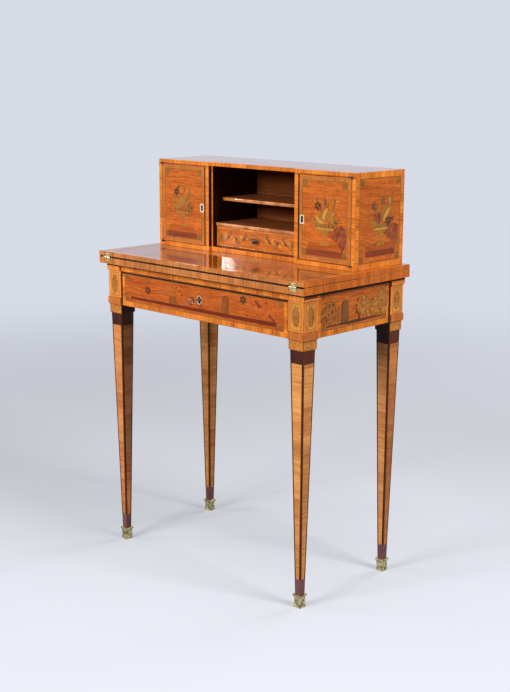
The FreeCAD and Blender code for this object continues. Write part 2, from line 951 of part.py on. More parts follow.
def small_back():
    """The small drawer's back, between the sides and on the bottom."""
    y_span = (small_rear - small_side_thickness, small_rear)
    z_span = (small_floor + small_bottom_thickness, small_side_top)
    return block((-small_inner, small_inner), y_span, z_span)


def small_front():
    """The small drawer's front, bored for the knob."""
    board = block((-small_half, small_half), (small_face, small_front_back), (small_low, small_high))
    sides = [small_side(sign) for sign in SIDES.values()]
    bore = rod_y(knob_stem_radius + slip_clearance, (small_face, small_front_back), 0, small_middle_level)
    return board.cut(sides + [small_bottom(), bore])


def knob():
    """A turned knob with its stem through the drawer front."""
    foot_front = small_face - knob_foot_height
    neck_front = foot_front - knob_neck_height
    ball_y = neck_front - (knob_ball_radius**2 - knob_neck_radius**2) ** 0.5
    foot = rod_y(knob_foot_radius, (foot_front, small_face), 0, small_middle_level)
    neck = rod_y(knob_neck_radius, (ball_y, foot_front), 0, small_middle_level)
    stem = rod_y(knob_stem_radius, (foot_front, small_front_back), 0, small_middle_level)
    ball = Part.makeSphere(knob_ball_radius, Vector(0, ball_y, small_middle_level))
    return foot.fuse([neck, stem, ball])


def collect():
    """Every node by name, each a solid or a list of alike solids."""
    tenons = [side_apron(sign) for sign in SIDES.values()] + [back_apron(), plain_front_rail()]
    nodes = {}
    shoes = []
    for name, side_sign, end_sign, x, y in leg_places():
        nodes["leg_" + name] = leg(side_sign, end_sign, x, y).cut(tenons)
        shoes.append(shoe(x, y))
    nodes["sabots"] = shoes
    nodes["back_apron"] = back_apron()
    nodes["front_top_rail"] = front_rail()
    nodes["drawer_runners"] = runners()
    nodes["drawer_guides"] = guides()
    nodes["drawer_kickers"] = kickers()
    nodes["wood_screws"] = wood_screws()
    nodes["lower_top_board"] = lower_board()
    nodes["rear_top_board"] = rear_board()
    nodes["writing_leaf"] = writing_leaf()
    nodes["lower_leather"] = leather(-1)
    nodes["leaf_leather"] = leather(1)
    nodes["leaf_hinge_lower_plates"] = hinge_plates(-1)
    nodes["leaf_hinge_upper_plates"] = hinge_plates(1)
    nodes["leaf_hinge_pins"] = hinge_pins()
    nodes["leaf_hinge_lower_screws"] = hinge_screws(-1)
    nodes["leaf_hinge_upper_screws"] = hinge_screws(1)
    nodes["frieze_drawer_front"] = drawer_front()
    nodes["frieze_drawer_back"] = drawer_back()
    nodes["frieze_drawer_bottom"] = drawer_bottom()
    nodes["drawer_lock_case"] = lock_case()
    nodes["drawer_lock_bolt"] = lock_bolt()
    nodes["key"] = key()
    nodes["drawer_escutcheon"] = drawer_escutcheon()
    nodes["cabinet_top"] = cabinet_top()
    nodes["cabinet_bottom"] = cabinet_bottom()
    nodes["cabinet_back"] = cabinet_rear()
    nodes["cabinet_pivot_plates"] = cabinet_pivots((-1, 1))
    nodes["upper_shelf"] = upper_shelf()
    nodes["drawer_deck"] = drawer_deck()
    nodes["small_drawer_front"] = small_front()
    nodes["small_drawer_back"] = small_back()
    nodes["small_drawer_bottom"] = small_bottom()
    nodes["small_drawer_knob"] = knob()
    for side, sign in SIDES.items():
        nodes["side_apron_" + side] = side_apron(sign)
        nodes["frieze_drawer_" + side + "_side"] = grooved_drawer_side(sign)
        nodes["cabinet_" + side + "_side"] = cabinet_side(sign)
        nodes["cabinet_" + side + "_partition"] = partition(sign)
        nodes["centre_" + side + "_lining"] = lining(sign)
        nodes[side + "_door"] = door(sign)
        nodes[side + "_door_pivot_plates"] = door_pivots(sign)
        nodes[side + "_door_escutcheon"] = bone_escutcheon(sign)
        nodes[side + "_door_lock"] = door_lock(sign)
        nodes[side + "_door_bolt"] = door_bolt(sign)
        nodes["small_drawer_" + side + "_side"] = small_side(sign).cut(small_bottom())
    return nodes


def export(nodes):
    """One STEP file for each node."""
    os.makedirs("parts", exist_ok=True)
    for name, shape in nodes.items():
        if isinstance(shape, list):
            shape = Part.makeCompound(shape)
        shape.exportStep("parts/" + name + ".step")


export(collect())
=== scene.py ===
import bpy, bmesh, math
from mathutils import Matrix, Vector


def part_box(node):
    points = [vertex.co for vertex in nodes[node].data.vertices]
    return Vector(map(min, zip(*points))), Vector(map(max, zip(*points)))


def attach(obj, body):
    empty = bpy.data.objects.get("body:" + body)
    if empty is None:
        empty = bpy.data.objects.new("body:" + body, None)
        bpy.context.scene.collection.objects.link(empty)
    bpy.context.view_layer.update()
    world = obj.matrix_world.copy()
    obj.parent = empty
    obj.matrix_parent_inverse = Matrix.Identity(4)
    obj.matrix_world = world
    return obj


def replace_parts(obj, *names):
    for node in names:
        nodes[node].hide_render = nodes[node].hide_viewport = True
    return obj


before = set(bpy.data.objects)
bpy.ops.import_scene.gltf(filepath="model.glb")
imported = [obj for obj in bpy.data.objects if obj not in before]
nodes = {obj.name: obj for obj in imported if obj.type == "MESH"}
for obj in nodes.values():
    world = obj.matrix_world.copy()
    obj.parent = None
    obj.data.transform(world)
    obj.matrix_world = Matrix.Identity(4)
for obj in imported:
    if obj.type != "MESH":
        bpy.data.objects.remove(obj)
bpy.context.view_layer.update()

mm = 0.001
sides = ("left", "right")
legs = [f"leg_{end}_{side}" for end in ("front", "back") for side in sides]
print("frame loaded:", len(nodes), "nodes")

# shader groups


def newGroup(name, inputs, outputs):
    group = bpy.data.node_groups.new(name, "ShaderNodeTree")
    for label, value in inputs.items():
        kind = "NodeSocketVector" if value is None else "NodeSocketFloat"
        socket = group.interface.new_socket(label, in_out="INPUT", socket_type=kind)
        if value is not None:
            socket.default_value = value
    for label in outputs:
        group.interface.new_socket(label, in_out="OUTPUT", socket_type="NodeSocketFloat")
    return group, group.nodes.new("NodeGroupInput").outputs, group.nodes.new("NodeGroupOutput").inputs


def addNode(tree, kind, **values):
    node = tree.nodes.new(kind)
    for key, value in values.items():
        if hasattr(node, key):
            setattr(node, key, value)
        else:
            node.inputs[key.replace("_", " ")].default_value = value
    return node


def feed(tree, node, values):
    for socket, value in zip(node.inputs, values):
        if isinstance(value, bpy.types.NodeSocket):
            tree.links.new(value, socket)
        else:
            socket.default_value = value
    return node.outputs


def mathNode(tree, operation, *values, clamp=False):
    return feed(tree, addNode(tree, "ShaderNodeMath", operation=operation, use_clamp=clamp), values)[0]


def vectorNode(tree, operation, *values):
    return feed(tree, addNode(tree, "ShaderNodeVectorMath", operation=operation), values)


def combine(tree, *values):
    return feed(tree, addNode(tree, "ShaderNodeCombineXYZ"), values)[0]


# how far a value lies over its start, times a gain
def ramp(tree, value, start, gain, clamp=True):
    return mathNode(tree, "MULTIPLY", mathNode(tree, "SUBTRACT", value, start), gain, clamp=clamp)


def mixColour(tree, factor, first, second):
    node = addNode(tree, "ShaderNodeMix", data_type="RGBA")
    tree.links.new(factor, node.inputs[0])
    for index, value in ((6, first), (7, second)):
        if isinstance(value, bpy.types.NodeSocket):
            tree.links.new(value, node.inputs[index])
        else:
            node.inputs[index].default_value = (*value, 1.0)
    return node.outputs[2]


def noiseAt(tree, vector, scale, detail, roughness, distortion=0.0):
    node = addNode(tree, "ShaderNodeTexNoise", Scale=scale, Detail=detail, Roughness=roughness,
                   Distortion=distortion)
    tree.links.new(vector, node.inputs["Vector"])
    return node.outputs["Fac"]


# scale, detail, roughness and distortion of each noise; start and gain of the ramps
grainNoise = dict(streak=(1.0, 5.0, 0.62, 0.5), figure=(0.16, 3.0, 0.55, 1.2), pores=(3.4, 2.0, 0.6),
                  soil=(17.0, 4.0, 0.6, 0.3), poreRamp=(0.56, 5.0), soilRamp=(0.45, 3.0), slant=0.83)
wearNoise = dict(cloud=(1.0, 5.0, 0.6, 0.6), scratch=(3.0, 3.0, 0.7), stretch=(1.0, 1.0, 14.0))


# long streaks, broad figure, short pores and cross blocks of a veneer
def buildWoodFigure():
    inputs = dict(Vector=None, Along=14.0, Across=420.0, Block=30.0, Wave=0.002)
    group, gin, gout = newGroup("woodFigure", inputs, ("Streak", "Figure", "Pores", "Blocks", "Soil"))
    join = group.links.new
    sway = addNode(group, "ShaderNodeTexNoise", Scale=21.0, Detail=2.0)
    join(gin["Vector"], sway.inputs["Vector"])
    reach = combine(group, 0.0, gin["Wave"], gin["Wave"])
    bent = vectorNode(group, "MULTIPLY_ADD", sway.outputs["Color"], reach, gin["Vector"])[0]
    stretch = combine(group, gin["Along"], gin["Across"], gin["Across"])
    grain = vectorNode(group, "MULTIPLY", bent, stretch)[0]
    join(noiseAt(group, grain, *grainNoise["streak"]), gout["Streak"])
    join(noiseAt(group, grain, *grainNoise["figure"]), gout["Figure"])
    pores = noiseAt(group, grain, *grainNoise["pores"])
    join(ramp(group, pores, *grainNoise["poreRamp"]), gout["Pores"])
    axes = addNode(group, "ShaderNodeSeparateXYZ")
    join(gin["Vector"], axes.inputs[0])
    slant = mathNode(group, "MULTIPLY", axes.outputs[2], grainNoise["slant"])
    run = mathNode(group, "ADD", axes.outputs[1], slant)
    cells = addNode(group, "ShaderNodeTexVoronoi", voronoi_dimensions="1D", feature="F1", Scale=1.0,
                    Randomness=0.8)
    join(mathNode(group, "MULTIPLY", run, gin["Block"]), cells.inputs["W"])
    parts = addNode(group, "ShaderNodeSeparateColor")
    join(cells.outputs["Color"], parts.inputs[0])
    join(parts.outputs[0], gout["Blocks"])
    soil = noiseAt(group, gin["Vector"], *grainNoise["soil"])
    join(ramp(group, soil, *grainNoise["soilRamp"]), gout["Soil"])
    return group


# cloudy tarnish and fine scratches of metal
def buildTarnish():
    group, gin, gout = newGroup("tarnish", dict(Vector=None, Scale=160.0), ("Cloud", "Scratch"))
    join = group.links.new
    scaled = addNode(group, "ShaderNodeVectorMath", operation="SCALE")
    join(gin["Vector"], scaled.inputs[0])
    join(gin["Scale"], scaled.inputs["Scale"])
    join(noiseAt(group, scaled.outputs[0], *wearNoise["cloud"]), gout["Cloud"])
    thin = vectorNode(group, "MULTIPLY", scaled.outputs[0], wearNoise["stretch"])[0]
    join(noiseAt(group, thin, *wearNoise["scratch"]), gout["Scratch"])
    return group


woodFigure = buildWoodFigure()
tarnish = buildTarnish()
print("shader groups built")

# finishes

turns = {"X": (0, 0, 0), "Y": (0, 0, math.radians(-90)), "Z": (0, math.radians(90), 0),
         "D": (0, math.radians(55), math.radians(-20))}      # D leans, for shaded motifs
woodBasics = dict(block=34.0, wave=0.002, streak=1.5, figure=1.3, blocks=0.0, pores=0.35, soil=0.22,
                  rough=0.30, shine=0.07, coat=0.07, coatRough=0.14, bump=0.10)
woodDepth = dict(pores=0.45, soil=0.62, soilRough=0.10)      # darkness of pores and soil, dullness of soil
metalBasics = dict(cloudRamp=(0.36, 3.2), scratchRough=0.22, bump=0.12)


def startMaterial(name, axis="X"):
    mat = bpy.data.materials.new(name)
    mat.use_nodes = True
    tree = mat.node_tree
    coords = addNode(tree, "ShaderNodeTexCoord")
    turn = addNode(tree, "ShaderNodeMapping", Rotation=turns[axis])
    tree.links.new(coords.outputs["Object"], turn.inputs["Vector"])
    return mat, tree, tree.nodes["Principled BSDF"], turn.outputs[0]


def addBump(tree, shader, height, **values):
    bump = addNode(tree, "ShaderNodeBump", **values)
    tree.links.new(height, bump.inputs["Height"])
    tree.links.new(bump.outputs[0], shader.inputs["Normal"])


def woodFinish(name, spec, axis="X"):
    spec = dict(woodBasics, **spec)
    mat, tree, shader, vec = startMaterial(name, axis)
    grain = addNode(tree, "ShaderNodeGroup", node_tree=woodFigure, Along=spec["along"], Across=spec["across"],
                    Block=spec["block"], Wave=spec["wave"])
    tree.links.new(vec, grain.inputs["Vector"])
    marks = grain.outputs
    streak, figure, blocks = (ramp(tree, marks[label], 0.5, spec[label.lower()], False)
                              for label in ("Streak", "Figure", "Blocks"))
    cells = mathNode(tree, "ADD", blocks, 0.5)
    total = mathNode(tree, "ADD", mathNode(tree, "ADD", streak, figure), cells, clamp=True)
    colour = mixColour(tree, total, spec["dark"], spec["light"])
    for label, key in (("Pores", "pores"), ("Soil", "soil")):
        share = mathNode(tree, "MULTIPLY", marks[label], spec[key])
        colour = mixColour(tree, share, colour, [c * woodDepth[key] for c in spec["dark"]])
    tree.links.new(colour, shader.inputs["Base Color"])
    rough = mathNode(tree, "MULTIPLY_ADD", marks["Soil"], woodDepth["soilRough"], spec["rough"])
    tree.links.new(rough, shader.inputs["Roughness"])
    for label, key in (("Specular IOR Level", "shine"), ("Coat Weight", "coat"),
                       ("Coat Roughness", "coatRough")):
        shader.inputs[label].default_value = spec[key]
    addBump(tree, shader, marks["Pores"], Strength=spec["bump"], Distance=0.2 * mm, invert=True)
    return mat


def metalFinish(name, dark, light, rough, scale=160.0, metallic=1.0):
    mat, tree, shader, vec = startMaterial(name)
    wear = addNode(tree, "ShaderNodeGroup", node_tree=tarnish, Scale=scale)
    tree.links.new(vec, wear.inputs["Vector"])
    scratch = wear.outputs["Scratch"]
    cloud = ramp(tree, wear.outputs["Cloud"], *metalBasics["cloudRamp"])
    tree.links.new(mixColour(tree, cloud, dark, light), shader.inputs["Base Color"])
    dull = mathNode(tree, "MULTIPLY_ADD", scratch, metalBasics["scratchRough"], rough)
    tree.links.new(dull, shader.inputs["Roughness"])
    shader.inputs["Metallic"].default_value = metallic
    addBump(tree, shader, scratch, Strength=metalBasics["bump"], Distance=0.3 * mm)
    return mat


# dark and light tone, grain along and across, and what differs from the basics
def veneer(dark, light, along, across, **cut):
    return dict(cut, dark=dark, light=light, along=along, across=across)


groundCut = dict(figure=1.0, wave=0.016)
legCut = dict(streak=1.8, figure=1.2, blocks=0.5, block=26.0)
postCut = dict(streak=2.0, figure=0.8, blocks=0.3, block=60.0)
purpleCut = dict(streak=2.2, soil=0.1, coat=0.04)
polished = dict(shine=0.02, coat=1.0, coatRough=0.03, rough=0.22)
waxed = dict(coat=0.4, coatRough=0.04)
woodTones = dict(
    ground=veneer((0.26, 0.047, 0.008), (0.77, 0.198, 0.028), 20, 470, streak=2.2, **groundCut),
    friezeGround=veneer((0.24, 0.037, 0.007), (0.73, 0.166, 0.023), 20, 470, streak=2.3, **groundCut),
    smallGround=veneer((0.30, 0.058, 0.007), (0.82, 0.222, 0.028), 20, 470, streak=2.3, figure=0.8,
                       wave=0.012, **waxed),
    topGround=veneer((0.13, 0.027, 0.003), (0.38, 0.092, 0.011), 9, 340, streak=1.8, figure=0.9, wave=0.014,
                     **polished),
    band=veneer((0.40, 0.086, 0.010), (0.95, 0.305, 0.040), 30, 560, streak=2.4, figure=0.6, blocks=0.5,
                block=46.0),
    doorBand=veneer((0.30, 0.080, 0.016), (0.64, 0.22, 0.048), 30, 560, streak=2.0, figure=0.6, blocks=0.3,
                    block=46.0),
    edgeBand=veneer((0.26, 0.068, 0.013), (0.76, 0.270, 0.060), 30, 560, streak=2.2, figure=0.6, blocks=0.3,
                    block=60.0, shine=0.2),
    edgeSide=veneer((0.29, 0.053, 0.004), (0.82, 0.205, 0.020), 30, 560, streak=1.8, figure=0.8, blocks=0.3,
                    block=60.0, shine=0.1),
    nose=veneer((0.30, 0.086, 0.018), (0.82, 0.31, 0.080), 30, 560, streak=2.6, figure=0.5, blocks=0.7,
                block=70.0, shine=0.2, coat=1.0, coatRough=0.05),
    topBand=veneer((0.26, 0.060, 0.008), (0.56, 0.172, 0.029), 40, 520, streak=1.4, figure=0.6, blocks=0.45,
                   **polished),
    legField=veneer((0.46, 0.145, 0.032), (0.90, 0.41, 0.118), 26, 420, **legCut),
    # legFieldRight is a lighter copy of the leg field: painted light on the back right leg's front face,
    # which the desk shades
    legFieldRight=veneer((0.52, 0.165, 0.043), (1.0, 0.455, 0.155), 26, 420, **legCut),
    # darker copies of the leg field: painted shade on the legs the lamps light less, the front left one also
    # redder
    legFieldLeft=veneer((0.44, 0.122, 0.032), (0.84, 0.335, 0.110), 26, 420, **legCut),
    legFieldBack=veneer((0.38, 0.116, 0.025), (0.76, 0.335, 0.092), 26, 420, **legCut),
    legFieldRear=veneer((0.33, 0.086, 0.018), (0.66, 0.250, 0.064), 26, 420, **legCut),
    postField=veneer((0.54, 0.135, 0.020), (1.0, 0.355, 0.066), 26, 460, **postCut),
    collar=veneer((0.36, 0.082, 0.015), (0.68, 0.217, 0.047), 26, 460, **postCut),
    rose=veneer((0.42, 0.150, 0.095), (0.70, 0.27, 0.175), 14, 360, streak=1.8),
    purple=veneer((0.028, 0.007, 0.004), (0.086, 0.022, 0.013), 8, 330, **purpleCut),
    # purpleLitSide is a lighter copy of the purple for faces turned to the right: painted light
    purpleLitSide=veneer((0.046, 0.012, 0.004), (0.155, 0.042, 0.013), 8, 330, **purpleCut),
    purpleFoot=veneer((0.075, 0.028, 0.027), (0.275, 0.118, 0.112), 8, 420, streak=2.6, soil=0.1),
    burr=veneer((0.36, 0.112, 0.018), (0.94, 0.39, 0.078), 420, 430, streak=2.5, figure=1.0, pores=0.7),
    neckBurr=veneer((0.31, 0.092, 0.015), (0.81, 0.315, 0.062), 380, 390, streak=2.8, figure=1.0, pores=0.7),
    fleck=veneer((0.17, 0.052, 0.011), (0.62, 0.24, 0.048), 420, 430, streak=2.6, pores=0.7),
    bush=veneer((0.125, 0.036, 0.007), (0.54, 0.172, 0.027), 200, 210, streak=3.2, pores=0.5),
    paleBush=veneer((0.22, 0.070, 0.013), (0.66, 0.245, 0.046), 200, 210, streak=3.2, pores=0.4),
    olive=veneer((0.19, 0.066, 0.013), (0.37, 0.145, 0.029), 60, 300, streak=1.8),
    lightLeaf=veneer((0.44, 0.180, 0.028), (0.84, 0.40, 0.070), 60, 420, streak=2.0),
    greenLeaf=veneer((0.26, 0.105, 0.018), (0.52, 0.22, 0.040), 60, 420, streak=2.0),
    redLine=veneer((0.095, 0.014, 0.004), (0.23, 0.036, 0.008), 14, 300, streak=1.8),
    redBrown=veneer((0.15, 0.027, 0.010), (0.31, 0.066, 0.023), 14, 300, streak=1.8),
    slab=veneer((0.24, 0.046, 0.009), (0.58, 0.140, 0.022), 16, 360, streak=2.0),
    shade=veneer((0.15, 0.034, 0.018), (0.44, 0.108, 0.028), 12, 170, streak=2.6, figure=1.6),
    darkMotif=veneer((0.070, 0.023, 0.009), (0.17, 0.060, 0.020), 60, 400),
    brownMotif=veneer((0.17, 0.044, 0.009), (0.38, 0.098, 0.018), 40, 320, streak=2.0),
    greyMotif=veneer((0.20, 0.082, 0.022), (0.38, 0.155, 0.040), 40, 320, streak=2.0),
    paleMotif=veneer((0.28, 0.085, 0.020), (0.50, 0.170, 0.036), 40, 320, streak=2.0),
    archGrey=veneer((0.13, 0.058, 0.019), (0.27, 0.118, 0.034), 40, 320, streak=2.0),
    # gapAndShade is nearly black: for dark gaps and holes, and for painted shade in seams, recesses and under
    # the top board
    gapAndShade=veneer((0.012, 0.005, 0.003), (0.035, 0.014, 0.007), 20, 300, coat=0.0),
    inside=veneer((0.105, 0.026, 0.007), (0.34, 0.100, 0.028), 8, 220, rough=0.42),
    # insideShaded is nearly black: painted shade on the partitions' and linings' inner faces
    insideShaded=veneer((0.016, 0.005, 0.003), (0.050, 0.015, 0.007), 8, 220, rough=0.5, coat=0.0),
    plain=veneer((0.25, 0.115, 0.042), (0.44, 0.235, 0.100), 6, 190, rough=0.52, pores=0.5, soil=0.35))
# name, dark and light tone, roughness, size of the clouds, and metallic share
metals = dict(
    brass=("agedBrass", (0.36, 0.28, 0.115), (0.70, 0.60, 0.33), 0.28, 110.0),
    shoe=("wornShoe", (0.12, 0.09, 0.035), (0.80, 0.70, 0.38), 0.22, 150.0),
    bright=("rubbedBrass", (0.36, 0.24, 0.07), (1.0, 0.87, 0.47), 0.2, 300.0),
    pale=("paleBrass", (0.80, 0.71, 0.50), (1.0, 0.95, 0.80), 0.2, 240.0),
    steel=("wornSteel", (0.022, 0.015, 0.010), (0.38, 0.32, 0.25), 0.14, 300.0),
    iron=("darkIron", (0.045, 0.035, 0.028), (0.22, 0.18, 0.15), 0.2, 240.0),
    knob=("darkKnob", (0.050, 0.030, 0.022), (0.50, 0.42, 0.34), 0.04, 160.0, 0.9))
finishes = {name: metalFinish(*spec) for name, spec in metals.items()}
bone = veneer((0.62, 0.52, 0.36), (0.82, 0.75, 0.60), 30, 500, coat=0.3, pores=0.15)
leather = veneer((0.075, 0.026, 0.011), (0.15, 0.055, 0.022), 420, 420, coat=0.1, rough=0.48, bump=0.5)
finishes["bone"] = woodFinish("bone", bone)
finishes["leather"] = woodFinish("leather", leather)


def wood(tone, axis="X", polish=""):
    name = tone + axis + polish
    if name not in finishes:
        finishes[name] = woodFinish(name, dict(woodTones[tone], **(waxed if polish else {})), axis)
    return finishes[name]


print("finishes ready")

# CAD nodes with eased arrises

easeLimits = dict(merge=1e-6, flat=math.radians(0.6), short=6 * mm, angle=math.radians(50))
square = 0.7      # a normal with this share along an axis faces that way


def spanOf(node):
    low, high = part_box(node)
    return low / mm, high / mm


def bevelEdges(bm, edges, offset, segments=2, clamp=True):
    bmesh.ops.bevel(bm, geom=edges, offset=offset, offset_type="OFFSET", affect="EDGES", segments=segments,
                    profile=0.5, material=-1, clamp_overlap=clamp)


def cutAcross(bm, level):
    return bmesh.ops.bisect_plane(bm, geom=bm.verts[:] + bm.edges[:] + bm.faces[:], dist=easeLimits["merge"],
                                  plane_co=(0, 0, level * mm), plane_no=(0, 0, 1))["geom_cut"]


def makeObject(name, bm, mats):
    mesh = bpy.data.meshes.new(name)
    bm.to_mesh(mesh)
    bm.free()
    for mat in mats:
        mesh.materials.append(mat)
    piece = bpy.data.objects.new(name, mesh)
    bpy.context.scene.collection.objects.link(piece)
    return piece


def easeNode(node, body, pick, ease, reshape=None, segments=2):
    bm = bmesh.new()
    bm.from_mesh(nodes[node].data)
    bmesh.ops.remove_doubles(bm, verts=bm.verts, dist=easeLimits["merge"])
    bmesh.ops.dissolve_limit(bm, angle_limit=easeLimits["flat"], verts=bm.verts, edges=bm.edges)
    if reshape:
        reshape(bm)
    sharp = [e for e in bm.edges if e.is_manifold and e.is_convex and e.calc_length() > easeLimits["short"]
             and e.calc_face_angle() > easeLimits["angle"]]
    bevelEdges(bm, sharp, ease * mm, segments)
    mats = []
    for face in bm.faces:
        mat = pick(face.calc_center_median(), face.normal)
        if mat not in mats:
            mats.append(mat)
        face.material_index = mats.index(mat)
    piece = makeObject(node + "_eased", bm, mats)
    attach(piece, body)
    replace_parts(piece, node)
    return piece


def allOver(mat):
    return lambda centre, normal: mat


def topAndEdges(topMat, edgeMat):
    return lambda centre, normal: topMat if abs(normal.z) > square else edgeMat


def frontAndRest(frontMat, restMat):
    return lambda centre, normal: frontMat if normal.y < -square else restMat


# legs: heights of the light field and of the mouldings, half widths of the tapered shaft
legField = dict(low=73.5, rose=4.2, high=581.0, edge=3.9, footOver=2.0, footHalf=7.4, footLevel=4.0,
                neckHalf=19.8, axis=26.5, post=23.5, ease=0.7)
legLevels = dict(neck=611.0, frieze=635.0, collar=652.5, proud=1.2, near=2.4)


def legPick(centre, normal):
    z = centre.z / mm
    if z < legField["low"] + legField["footOver"]:
        return wood("purpleFoot", "Z")
    if z < legLevels["neck"] - 1 or min(abs(normal.x), abs(normal.y)) > 0.3:
        # faces turned to the right take the lighter purple: painted light
        return wood("purpleLitSide" if normal.x > square else "purple", "Z")
    if z < legLevels["frieze"]:
        # neck faces turned in toward the desk take the dark purple: painted shade
        shadedInward = normal.x * centre.x < -0.01 or normal.y * centre.y < -0.01
        return wood("purple", "Z") if shadedInward else wood("neckBurr", "X" if abs(normal.y) > square else "Y")
    return wood("collar" if z < legLevels["collar"] else "postField", "Z")


# the foot is cut off for its own wood, and the collar's outer faces stand a little prouder
def shapeLeg(node):
    low, high = spanOf(node)
    edges = (low.x if low.x < 0 else high.x, low.y if "front" in node else high.y)

    def reshape(bm):
        cutAcross(bm, legField["low"] - legField["rose"])
        for vert in bm.verts:
            if legLevels["frieze"] - 0.1 < vert.co.z / mm < legLevels["collar"] + 0.1:
                for axis, edge in enumerate(edges):
                    if abs(edge - vert.co[axis] / mm) < legLevels["near"]:
                        vert.co[axis] += math.copysign(legLevels["proud"] * mm, edge)
    return reshape


for name in legs:
    easeNode(name, "desk", legPick, legField["ease"], shapeLeg(name))

# boards: chamfers of the seam under the leaf, and how far its shade reaches over and under it
seamLay = dict(level=756.5, lower=1.2, upper=3.2, side=0.55, skin=0.05, over=3.3, under=2.5, ease=0.9)


def boardPick(centre, normal):
    drop = seamLay["level"] - centre.z / mm
    if -seamLay["over"] < drop < -seamLay["skin"] and normal.z < -0.1:       # the seam lies in its own shade
        return wood("gapAndShade")
    # the lower board's upper arris is painted shade along the front, and takes the paler nose wood along the
    # sides as a painted highlight
    if seamLay["skin"] < drop < seamLay["under"] and normal.z > 0.1:
        return wood("gapAndShade") if abs(normal.x) < 0.3 else wood("nose", "Z")
    if abs(normal.z) > 0.9:
        return wood("topGround")
    return wood("edgeSide" if abs(normal.x) > square else "edgeBand", "Z")


def openSeam(node, level, width):
    low, high = spanOf(node)

    def reshape(bm):
        for share, near in ((1.0, lambda v: v.co.y / mm < low.y + 0.5),
                            (seamLay["side"], lambda v: abs(v.co.x) / mm > high.x - 0.5)):
            rim = [e for e in bm.edges if all(abs(v.co.z / mm - level) < 0.3 and near(v) for v in e.verts)]
            bevelEdges(bm, rim, width * share * mm, clamp=False)
    return reshape


lowerSeam = openSeam("lower_top_board", spanOf("lower_top_board")[1].z, seamLay["lower"])
upperSeam = openSeam("writing_leaf", spanOf("writing_leaf")[0].z, seamLay["upper"])
easeNode("lower_top_board", "desk", boardPick, seamLay["ease"], lowerSeam)
easeNode("rear_top_board", "desk", boardPick, seamLay["ease"])
easeNode("writing_leaf", "leaf", boardPick, seamLay["ease"], upperSeam)


def cabinetSidePick(centre, normal):
    if abs(normal.y) > square:
        return wood("band")
    return wood("ground" if normal.x * centre.x > 0 else "inside", "Y")


def nosePick(centre, normal):
    return wood("nose", "Z") if normal.y < -0.25 else wood("inside")


def doorPick(centre, normal):
    if normal.y < -square:
        return wood("ground")
    return wood("smallGround" if normal.y > square else "band", "Z")


# nodes, body, woods of the faces, and width of the eased arrises
easedNodes = (
    (("cabinet_top", "cabinet_bottom"), "desk", topAndEdges(wood("topGround"), wood("band", "Z")), 0.7),
    (("cabinet_left_side", "cabinet_right_side"), "desk", cabinetSidePick, 0.4),
    # partitions and linings: band wood on the front edges, painted shade, nearly black, on all other faces
    (("cabinet_left_partition", "cabinet_right_partition"), "desk",
     frontAndRest(wood("band"), wood("insideShaded", "Z")), 0.5),
    (("centre_left_lining", "centre_right_lining"), "desk",
     frontAndRest(wood("band"), wood("insideShaded", "Y")), 0.4),
    (("upper_shelf", "drawer_deck"), "desk", nosePick, 2.6, None, 5),
    (("left_door",), "door_left", doorPick, 0.5),
    (("right_door",), "door_right", doorPick, 0.5),
    (("small_drawer_front",), "small_drawer", frontAndRest(wood("smallGround"), wood("plain")), 0.5),
    (("frieze_drawer_front",), "frieze_drawer", frontAndRest(wood("friezeGround"), wood("plain")), 0.6),
    (("front_top_rail",), "desk", frontAndRest(wood("band", "Z"), wood("plain")), 0.5),
    (("side_apron_left", "side_apron_right"), "desk", allOver(wood("ground", "Y")), 0.5),
    (("back_apron",), "desk", allOver(wood("ground")), 0.5))
for names, *settings in easedNodes:
    for name in names:
        easeNode(name, *settings)

# shoes with shallow rings, narrow hinge plates, key with a small bow, small knob

legSpots = dict(x=308.5, front=135.5, back=169.0)
shoeRings = ((2.4, 0.98), (5.2, 1.04), (7.0, 0.98), (15.0, 1.0), (24.0, 1.01))      # height and width share
hingeLay = dict(mid=315.0, narrow=0.84, ease=0.7)
bowLay = dict(neck=-175.5, level=686.0, thick=1.15, shrink=0.84)
knobShrink = 0.82


def shapeShoes(bm):
    for level, share in shoeRings:
        for vert in (g for g in cutAcross(bm, level) if isinstance(g, bmesh.types.BMVert)):
            for axis, spot in enumerate((legSpots["x"], legSpots["front" if vert.co.y < 0 else "back"])):
                mid = math.copysign(spot, vert.co[axis]) * mm
                vert.co[axis] = mid + (vert.co[axis] - mid) * share


def narrowHinges(bm):
    for vert in bm.verts:
        mid = math.copysign(hingeLay["mid"], vert.co.x) * mm
        vert.co.x = mid + (vert.co.x - mid) * hingeLay["narrow"]


def smallBow(bm):
    neck = Vector((0, bowLay["neck"], bowLay["level"])) * mm
    bow = [v for v in bm.verts if v.co.y < neck.y]
    size = (bowLay["thick"], bowLay["shrink"], bowLay["shrink"])
    bmesh.ops.scale(bm, verts=bow, vec=size, space=Matrix.Translation(-neck))


def smallKnob(bm):
    low, high = spanOf("small_drawer_knob")
    foot = Vector(((low.x + high.x) / 2, spanOf("small_drawer_front")[0].y, (low.z + high.z) / 2)) * mm
    bmesh.ops.scale(bm, verts=bm.verts, vec=[knobShrink] * 3, space=Matrix.Translation(-foot))


easeNode("sabots", "desk", allOver(finishes["shoe"]), 1.2, shapeShoes, 3)
for name, body in (("leaf_hinge_lower_plates", "desk"), ("leaf_hinge_upper_plates", "leaf")):
    easeNode(name, body, allOver(finishes["bright"]), hingeLay["ease"], narrowHinges)
turned = [easeNode("key", "lock_key", allOver(finishes["steel"]), 0.1, smallBow),
          easeNode("small_drawer_knob", "small_drawer", allOver(finishes["knob"]), 0.1, smallKnob)]
for piece in turned:
    for polygon in piece.data.polygons:
        polygon.use_smooth = True

